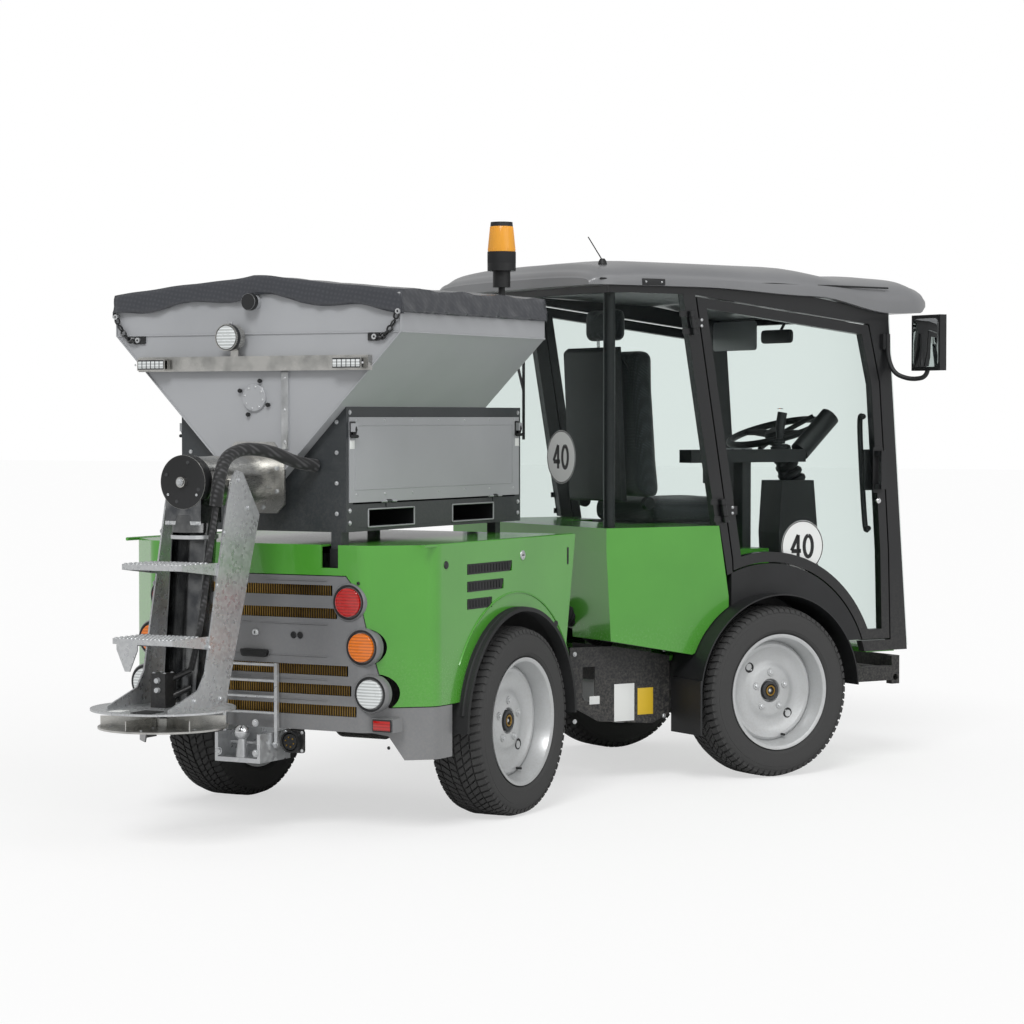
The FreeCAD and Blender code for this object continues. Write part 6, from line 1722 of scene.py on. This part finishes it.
@dataclass
class Seat:
    """The driver's seat: cushions blown up by a cloth simulation, a shell and a belt."""

    half: float = 0.225

    def pad(
        self, name: str, spans: tuple, lean: float, crown: float, cap: float) -> bpy.types.Object:
        """A cushion from a rounded block.

        Args:
            name: The piece's name.
            spans: (x, y, z) ranges.
            lean: Shift along X for each metre of height.
            crown: Starting crown across it, in metres.
            cap: How far the simulation may move a point.

        Returns:
            The finished cushion.
        """
        shape = Shape(name)
        shape.box(spans[0], spans[1], spans[2], SEAT_CLOTH, 0.028, 4)
        for vert in shape.mesh.verts:
            across = vert.co.y / max(abs(spans[1][0]), abs(spans[1][1]))
            vert.co.x += (vert.co.z - spans[2][0]) * lean + crown * (1.0 - across * across)
        piece = shape.make(Section.FRONT, None, "seat_fabric", 60.0)
        self.inflate(piece, cap)
        return piece

    def inflate(self, piece: bpy.types.Object, cap: float) -> None:
        """Swell a cushion with cloth pressure and keep the result, capped.

        Args:
            piece: The cushion.
            cap: Largest move of a point, in metres.
        """
        bpy.context.view_layer.objects.active = piece
        remesh = piece.modifiers.new("voxels", "REMESH")
        remesh.mode = "VOXEL"
        remesh.voxel_size = 0.012
        apply_modifiers(piece)
        rest = [vert.co.copy() for vert in piece.data.vertices]
        cloth = piece.modifiers.new("pressure", "CLOTH")
        cloth.settings.use_pressure = True
        cloth.settings.uniform_pressure_force = 4.0
        cloth.settings.effector_weights.gravity = 0.0
        for number in range(1, 21):
            bpy.context.scene.frame_set(number)
        apply_modifiers(piece)
        for vert, start in zip(piece.data.vertices, rest):
            move = vert.co - start
            if move.length > cap:
                vert.co = start + move * (cap / move.length)
        bpy.context.scene.frame_set(1)
        smooth = piece.modifiers.new("surface", "SUBSURF")
        smooth.levels = 1
        smooth.render_levels = 1

    def shell(self) -> None:
        """Shell panels, recliner knobs and the belt."""
        shape = Shape("seat_shell_and_belt")
        shape.slab(
            rounded_outline([(1.4, 1.04), (1.375, 1.04), (1.345, 1.62), (1.372, 1.64)], 0.01), Axis.Y,
            -0.185, 0.185, BLACK_PLASTIC, 0.006)
        shape.box((1.5, 1.955), (-0.215, 0.215), (0.9405, 0.958), BLACK_PLASTIC, 0.006)
        for side in (1.0, -1.0):
            shape.lathe(
                [(0.0, 0.0), (0.0, 0.026), (side * 0.02, 0.024), (side * 0.022, 0.0)],
                (1.47, side * 0.218, 1.035), Axis.Y, BLACK_PLASTIC, 24)
        shape.tube(
            [(1.384, -0.17, 1.6), (1.47, -0.175, 1.45), (1.56, -0.12, 1.2), (1.6, 0.05, 1.075)], 0.008,
            LINER_RUBBER, 8, 6)
        shape.make(Section.FRONT, None, "black_plastic")

    def build(self) -> None:
        """Cushion, back, headrest and shell."""
        h = self.half
        pads = [
            self.pad("seat_cushion", ((1.5, 1.962), (-h, h), (0.958, 1.042)), 0.0, 0.006, 0.01),
            self.pad(
                "seat_back", ((1.452, 1.538), (-h + 0.004, h - 0.004), (1.048, 1.63)), -0.07, 0.006, 0.01),
            self.pad(
                "seat_headrest", ((1.392, 1.448), (-0.116, 0.116), (1.66, 1.786)), 0.0, 0.003, 0.006)]
        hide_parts("driver_seat")
        posts = Shape("headrest_posts")
        for y in (-0.05, 0.05):
            posts.rod((1.424, y, 1.6), (1.42, y, 1.68), 0.006, CHROME, 12)
        posts.make(Section.FRONT, None, "black_plastic")
        self.shell()


def apply_modifiers(piece: bpy.types.Object) -> None:
    """Replace a piece's mesh with its evaluated one and drop its modifiers."""
    graph = bpy.context.evaluated_depsgraph_get()
    made = bpy.data.meshes.new_from_object(piece.evaluated_get(graph))
    piece.modifiers.clear()
    piece.data = made


@dataclass
class Cockpit:
    """Steering wheel, levers, pedals, mat, mirror and visor."""

    wheel: tuple[float, float, float] = (2.24, 0.0, 1.305)

    def steering(self, shape: Shape) -> None:
        """Spokes, hub cap and the column's bellows boot."""
        x, y, z = self.wheel
        tilt = Vector((-0.44, 0.0, 0.9)).normalized()
        base = Vector((x, y, z))
        for turn in (math.radians(90), math.radians(210), math.radians(330)):
            flat = Vector((math.cos(turn) * 0.9, math.sin(turn), math.cos(turn) * 0.44))
            shape.rod(tuple(base - tilt * 0.02), tuple(base + flat * 0.172), 0.01, BLACK_PLASTIC, 12)
        shape.rod(tuple(base - tilt * 0.045), tuple(base + tilt * 0.01), 0.042, BLACK_PLASTIC, 32, 0.008)
        foot = base - tilt * 0.3
        for k in range(7):
            spot = foot + tilt * (0.034 * k)
            shape.rod(tuple(spot), tuple(spot + tilt * 0.026), 0.06 - 0.003 * k, LINER_RUBBER, 24, 0.01)

    def controls(self, shape: Shape) -> None:
        """Joystick with its boot, switches and the pedals."""
        x, y = 2.05, -0.29
        for k in range(4):
            shape.lathe(
                [(0.0, 0.034 - 0.006 * k), (0.009, 0.036 - 0.006 * k), (0.01, 0.028 - 0.006 * k)],
                (x, y, 1.24 + 0.011 * k), Axis.Z, LINER_RUBBER, 24)
        shape.tube(
            [
                (x, y, 1.275), (x + 0.004, y, 1.33),
                (x + 0.012, y - 0.004, 1.385)], 0.019, BLACK_PLASTIC, 16, 4, lambda reach: 0.55
            + 0.45 * min(1.0, reach / 0.05))
        for k in range(3):
            shape.lathe(
                [(0.0, 0.0055), (0.003, 0.0045), (0.003, 0.0)], (x + 0.004, y - 0.01 + 0.01 * k, 1.398),
                Axis.Z, AMBER_LENS if k == 1 else PANEL_GREY, 12)
        for row in range(2):
            for k in range(4):
                left = 1.7 + 0.055 * k
                shape.box(
                    (left, left + 0.034), (-0.318 + 0.032 * row, -0.294 + 0.032 * row), (1.2395, 1.245),
                    PANEL_GREY, 0.002)
        for side in (1.0, -1.0):
            shape.box((2.28, 2.35), sorted((side * 0.075, side * 0.135)), (0.5, 0.512), LINER_RUBBER, 0.003)
            shape.rod((2.32, side * 0.105, 0.506), (2.375, side * 0.105, 0.64), 0.008, BLACK_STEEL, 12)

    def trim(self, shape: Shape) -> None:
        """Floor mat with ribs, interior mirror and sun visor."""
        for k in range(11):
            y = -0.25 + 0.05 * k
            shape.box((1.99, 2.22), (y - 0.006, y + 0.006), (0.4645, 0.469), LINER_RUBBER, 0.001)
        shape.slab(
            rounded_box((-0.1, 1.665), (0.1, 1.72), 0.02), Axis.X, 2.245, 2.262, BLACK_PLASTIC, 0.004)
        shape.rod((2.262, 0.0, 1.7), (2.3, 0.0, 1.76), 0.006, BLACK_STEEL, 12)
        shape.slab(
            rounded_box((0.12, 1.64), (0.42, 1.76), 0.015), Axis.X, 2.235, 2.243, PANEL_GREY, 0.003)

    def build(self) -> None:
        """Everything inside the cab."""
        shape = Shape("cab_controls")
        self.steering(shape)
        self.controls(shape)
        self.trim(shape)
        shape.make(Section.FRONT, None, "black_plastic")


@dataclass
class Roof:
    """The roof moulding: a soft crown with rounded sides and a visor that flares forward."""

    half: float = 0.585
    crown: tuple = (
        (0.985, 1.885), (1.0, 1.908), (1.06, 1.943), (1.25, 1.9595), (1.9, 1.957), (2.18, 1.926),
        (2.33, 1.931), (2.47, 1.926), (2.55, 1.905), (2.59, 1.862))
    under: tuple = (
        (0.985, 1.8505), (1.46, 1.8505), (2.0, 1.8285), (2.376, 1.7705), (2.53, 1.7745), (2.59, 1.8005))
    fullness: float = 4.2
    round_count: int = 44

    def level(self, line: tuple, x: float) -> float:
        """Height of a profile line.

        Args:
            line: (X, Z) points of the line.
            x: The place along the cab.

        Returns:
            The height there.
        """
        for (x0, z0), (x1, z1) in zip(line, line[1:]):
            if x <= x1:
                share = (x - x0) / (x1 - x0)
                return z0 + (z1 - z0) * share * share * (3.0 - 2.0 * share)
        return line[-1][1]

    def width(self, x: float) -> float:
        """Half width, drawn in at the rounded ends."""
        rear = max(0.0, 1.0 - (x - self.crown[0][0]) / 0.09)
        front = max(0.0, 1.0 - (self.crown[-1][0] - x) / 0.13)
        return self.half - 0.03 * rear ** 2 - 0.06 * front ** 2

    def build(self) -> None:
        """Loft the moulding from rear to visor."""
        start, end = self.crown[0][0], self.crown[-1][0]
        stations = [start + (end - start) * 0.5 * (1.0 - math.cos(math.pi * k / 48)) for k in range(49)]
        verts, faces = [], []
        for x in stations:
            low, high, half = self.level(self.under, x), self.level(self.crown, x), self.width(x)
            for k in range(self.round_count + 1):
                turn = math.pi * k / self.round_count
                across = math.copysign(abs(math.cos(turn)) ** (2.0 / self.fullness), math.cos(turn))
                up = math.sin(turn) ** (2.0 / self.fullness)
                verts.append((x, half * across, low + (high - low) * up * (1.0 - 0.1 * across * across)))
        row = self.round_count + 1
        for i in range(len(stations) - 1):
            for k in range(row):
                a, b = i * row + k, i * row + (k + 1) % row
                faces.append((a, b, b + row, a + row))
        faces.append(tuple(range(row)))
        faces.append(tuple(range((len(stations) - 1) * row, len(stations) * row)))
        shape = Shape("cab_roof_moulding")
        shape.add(verts, faces, ROOF_GREY)
        piece = shape.make(Section.FRONT, None, "roof_moulding", 50.0)
        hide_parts("cab_roof")


@dataclass
class CabOutside:
    """Roof seam and antenna, a wiper, mirrors' glass, ribbed panel, labels and a ribbed hose."""

    half: float = 0.56

    def roof(self) -> None:
        """The seam, the gutter bead, a bracket and the antenna with its foot."""
        shape = Shape("roof_trim_and_antenna")
        for side in (1.0, -1.0):
            shape.tube(
                [(1.02, side * 0.578, 1.872), (1.8, side * 0.5805, 1.872), (2.36, side * 0.575, 1.868)],
                0.0035, LINER_RUBBER, 8)
        base = (1.11, -0.455, 1.93)
        shape.lathe(
            [(0.0, 0.017), (0.012, 0.015), (0.022, 0.008), (0.022, 0.0)], base, Axis.Z, BLACK_PLASTIC, 24)
        shape.tube(
            [(base[0], base[1], 1.945), (base[0] - 0.06, base[1] + 0.005, 2.03)], 0.0022, BLACK_PLASTIC,
            8)
        shape.box((1.2, 1.3), (-0.589, -0.5795), (1.852, 1.876), BLACK_PLASTIC, 0.002)
        for x in (1.215, 1.285):
            shape.screw((x, -0.589, 1.864), Axis.Y, ZINC, 0.004, -1.0)
        shape.make(Section.FRONT, None, "roof_moulding")

    def wipers(self) -> None:
        """The rear wiper: arm, blade and motor cap."""
        shape = Shape("wipers")
        shape.lathe(
            [(0.0, 0.0), (0.0, 0.016), (-0.012, 0.014), (-0.016, 0.0)], (1.046, 0.1, 1.77), Axis.X,
            BLACK_PLASTIC, 24)
        shape.tube([(1.034, 0.1, 1.77), (1.032, 0.045, 1.62), (1.04, -0.01, 1.47)], 0.0055, BLACK_STEEL, 8)
        shape.box((1.036, 1.046), (-0.014, -0.006), (1.28, 1.62), LINER_RUBBER, 0.002)
        shape.make(Section.FRONT, None, "black_plastic")

    def mirrors(self) -> None:
        """The silvered faces, looking back."""
        shape = Shape("mirror_faces")
        for side in (1.0, -1.0):
            outline = rounded_box((side * 0.645, 1.56), (side * 0.795, 1.747), 0.025)
            shape.slab(outline, Axis.X, 2.429, 2.43, MIRROR, 0.0003)
        shape.make(Section.FRONT, None, "black_plastic")

    def ribbed_panel(self) -> None:
        """Anthracite side panel with four pressed ribs, on both sides."""
        shape = Shape("ribbed_side_panels")
        corners = [(1.078, 0.542), (1.444, 0.477), (1.49, 0.538), (1.344, 0.811), (1.254, 0.863)]
        y = 0.4475
        shape.slab(rounded_outline(corners, 0.03), Axis.Y, y, y + 0.006, ANTHRACITE, 0.002)
        for k in range(4):
            low = Vector((1.165 + 0.062 * k, 0.585 - 0.01 * k))
            high = low + Vector((0.05 - 0.004 * k, 0.15 - 0.022 * k))
            shape.tube([(low.x, y + 0.006, low.y), (high.x, y + 0.006, high.y)], 0.011, ANTHRACITE, 12)
        for x, z in ((1.105, 0.556), (1.44, 0.5), (1.262, 0.835)):
            shape.bolt((x, y + 0.006, z), Axis.Y, ZINC, 0.01)
        shape.mirror()
        shape.make(Section.FRONT, None, "anthracite_paint")

    def side_plate(self) -> None:
        """Bare labels and bolts on the black side plate."""
        shape = Shape("side_plate_labels")
        for side in (1.0, -1.0):
            face = side * 0.4462
            outer = sorted((face, face + side * LABEL))
            shape.box((1.17, 1.26), outer, (0.23, 0.37), WHITE_PLATE, 0.0002)
            shape.box((1.275, 1.345), outer, (0.25, 0.35), YELLOW_PLATE, 0.0002)
            shape.box((1.06, 1.105), outer, (0.3, 0.33), WHITE_PLATE, 0.0002)
            for x in (0.995, 1.395):
                for z in (0.24, 0.49):
                    shape.bolt((x, face, z), Axis.Y, ZINC, 0.012, side)
        shape.make(Section.FRONT, None, "black_paint")

    def bellows(self) -> None:
        """Ribbed hose that leads from the front section towards the pivot."""
        shape = Shape("ribbed_bellows_hose")
        path = [(1.24, -0.3, 0.52), (1.16, -0.3, 0.56), (1.08, -0.285, 0.62), (1.0, -0.24, 0.64)]
        shape.tube(
            path, 0.038, LINER_RUBBER, 24, 22, lambda reach: 1.0
            + 0.11 * math.sin(reach * math.tau / 0.013))
        shape.make(Section.FRONT, None, "black_rubber")

    def build(self) -> None:
        """All of the outside."""
        self.roof()
        self.wipers()
        self.mirrors()
        self.ribbed_panel()
        self.side_plate()
        self.bellows()


ASSEMBLIES = [
    Wheels(), Tarpaulin(), HopperFittings(), RearPanel(), HoodTrim(), SpreaderBase(), SpreaderTail(),
    Beacon(), Doors(), Roof(), Seat(), Cockpit(), CabOutside()]


# ---- Stage ----
@dataclass(frozen=True)
class FloorPaper(Finish):
    """Matt studio paper, seen nearly white by the camera and as plain paper by the machine."""

    lift: float = 0.6

    def surface(self, tree: Tree, shader: Node) -> Node:
        """Paper with some of its own light for the camera, so that only the shadow shows."""
        seen = add_node(tree, "LightPath")
        share = add_node(tree, "Math", {"@operation": "MULTIPLY", 1: 0.5}, {0: (seen, "Is Camera Ray")})
        white = add_node(tree, "Emission", {"Strength": self.lift * 2.0})
        return add_node(tree, "MixShader", {}, {0: (share, 0), 1: (shader, 0), 2: (white, 0)})


@dataclass
class Stage:
    """Floor, light and camera round the machine."""

    floor_half: float = 60.0
    eye: tuple[float, float, float] = (-8.267, -5.118, 1.367)
    heading: float = 0.5012
    pitch: float = -0.0345
    lens_mm: float = 96.9
    world_light: float = 0.5

    def floor(self) -> None:
        """A white floor that keeps the machine's shadow."""
        data = bpy.data.meshes.new("floor")
        half = self.floor_half
        data.from_pydata(
            [(-half, -half, 0.0), (half, -half, 0.0), (half, half, 0.0), (-half, half, 0.0)], [],
            [(0, 1, 2, 3)])
        piece = bpy.data.objects.new("floor", data)
        bpy.context.scene.collection.objects.link(piece)
        data.materials.append(FloorPaper("matt_white_paper", "ececec", 0.9).build())

    def lamps(self) -> None:
        """A broad key light from the left behind the camera, a weak fill and an even sky."""
        for name, strength, spread, turn in (
            ("key", 1.45, 22.0, (46.0, 0.0, -72.0)), ("fill", 0.62, 50.0, (62.0, 0.0, -15.0))):
            lamp = bpy.data.lights.new(name, "SUN")
            lamp.energy = strength
            lamp.angle = math.radians(spread)
            piece = bpy.data.objects.new(name, lamp)
            piece.rotation_euler = [math.radians(a) for a in turn]
            bpy.context.scene.collection.objects.link(piece)
        world = bpy.data.worlds.new("studio")
        bpy.context.scene.world = world
        world.use_nodes = True
        tree = world.node_tree
        tree.nodes.clear()
        seen = add_node(tree, "LightPath")
        either = add_node(
            tree, "Math", {"@operation": "MAXIMUM"},
            {0: (seen, "Is Camera Ray"), 1: (seen, "Is Transmission Ray")})
        soft = add_node(tree, "Background", {"Color": (1.0, 1.0, 1.0, 1.0), "Strength": self.world_light})
        white = add_node(tree, "Background", {"Color": (1.0, 1.0, 1.0, 1.0), "Strength": 1.0})
        mix = add_node(tree, "MixShader", {}, {0: (either, 0), 1: (soft, 0), 2: (white, 0)})
        add_node(tree, "OutputWorld", {}, {"Surface": (mix, 0)})

    def camera(self) -> None:
        """The camera, level with the cab's waist behind the machine's right rear corner."""
        data = bpy.data.cameras.new("camera")
        data.lens = self.lens_mm
        data.sensor_width = 36.0
        data.clip_end = 200.0
        piece = bpy.data.objects.new("camera", data)
        bpy.context.scene.collection.objects.link(piece)
        piece.location = rear_matrix() @ Vector(self.eye)
        ahead = Vector((
            math.cos(self.heading) * math.cos(self.pitch), math.sin(self.heading) * math.cos(self.pitch),
            math.sin(self.pitch)))
        piece.rotation_euler = ahead.to_track_quat("-Z", "Y").to_euler()
        bpy.context.scene.camera = piece

    def build(self) -> None:
        """Floor, lamps and camera, with plain colour handling."""
        self.floor()
        self.lamps()
        self.camera()
        bpy.context.scene.view_settings.view_transform = "Standard"


NODE_FINISHES: dict[str, Finish] = {
    "rear_chassis": CHASSIS, "rear_axle": CHASSIS, "engine_block": CASTING, "rear_body_shell": GREEN,
    "rear_grille_panel": PANEL_GREY, "rear_lamps": RED_LENS, "rear_arch_liners": LINER_RUBBER,
    "rear_hitch": ZINC, "fold_up_step": ZINC, "spreader_base_frame": ANTHRACITE,
    "spreader_fork_frame": ANTHRACITE, "spreader_fork_pockets": CHASSIS,
    "spreader_side_plates": ANTHRACITE, "spreader_cover_left": BASE_GREY,
    "spreader_cover_right": BASE_GREY, "hopper": BASE_GREY, "hopper_tarp": TARP,
    "rear_light_bar": STAINLESS, "auger_tube": STAINLESS, "auger_hose_sleeve": BRAID,
    "salt_chute": POLISHED, "disc_carrier": ZINC_SHEET, "spreader_steps": ZINC_SHEET,
    "disc_motor": BLACK_STEEL, "spinner_disc": STAINLESS, "warning_beacon": BLACK_PLASTIC,
    "steering_cylinder_barrel": BLACK_STEEL, "steering_cylinder_rod": CHROME, "front_chassis": CHASSIS,
    "front_axle": CHASSIS, "front_lift_arms": CHASSIS, "front_mudguards": BLACK_PLASTIC,
    "cab_frame": BLACK_STEEL, "cab_tub": GREEN, "cab_roof": ROOF_GREY, "windscreen": GLASS,
    "rear_window": GLASS, "door_left": BLACK_STEEL, "door_right": BLACK_STEEL, "door_glass_left": GLASS,
    "door_glass_right": GLASS, "cab_mirrors": BLACK_PLASTIC, "driver_seat": SEAT_CLOTH,
    "steering_console": BLACK_PLASTIC}




def main() -> None:
    """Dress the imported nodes, build every sub-assembly and set the stage."""
    logging.basicConfig(level=logging.INFO, format="%(name)s: %(message)s")
    for node in frame["nodes"]:
        dress(node, NODE_FINISHES.get(node, TYRE_RUBBER if node.startswith("tyre") else SILVER))
    for assembly in ASSEMBLIES:
        LOG.info("building %s", type(assembly).__name__)
        assembly.build()
    Stage().build()


if __name__ == "__main__":
    main()
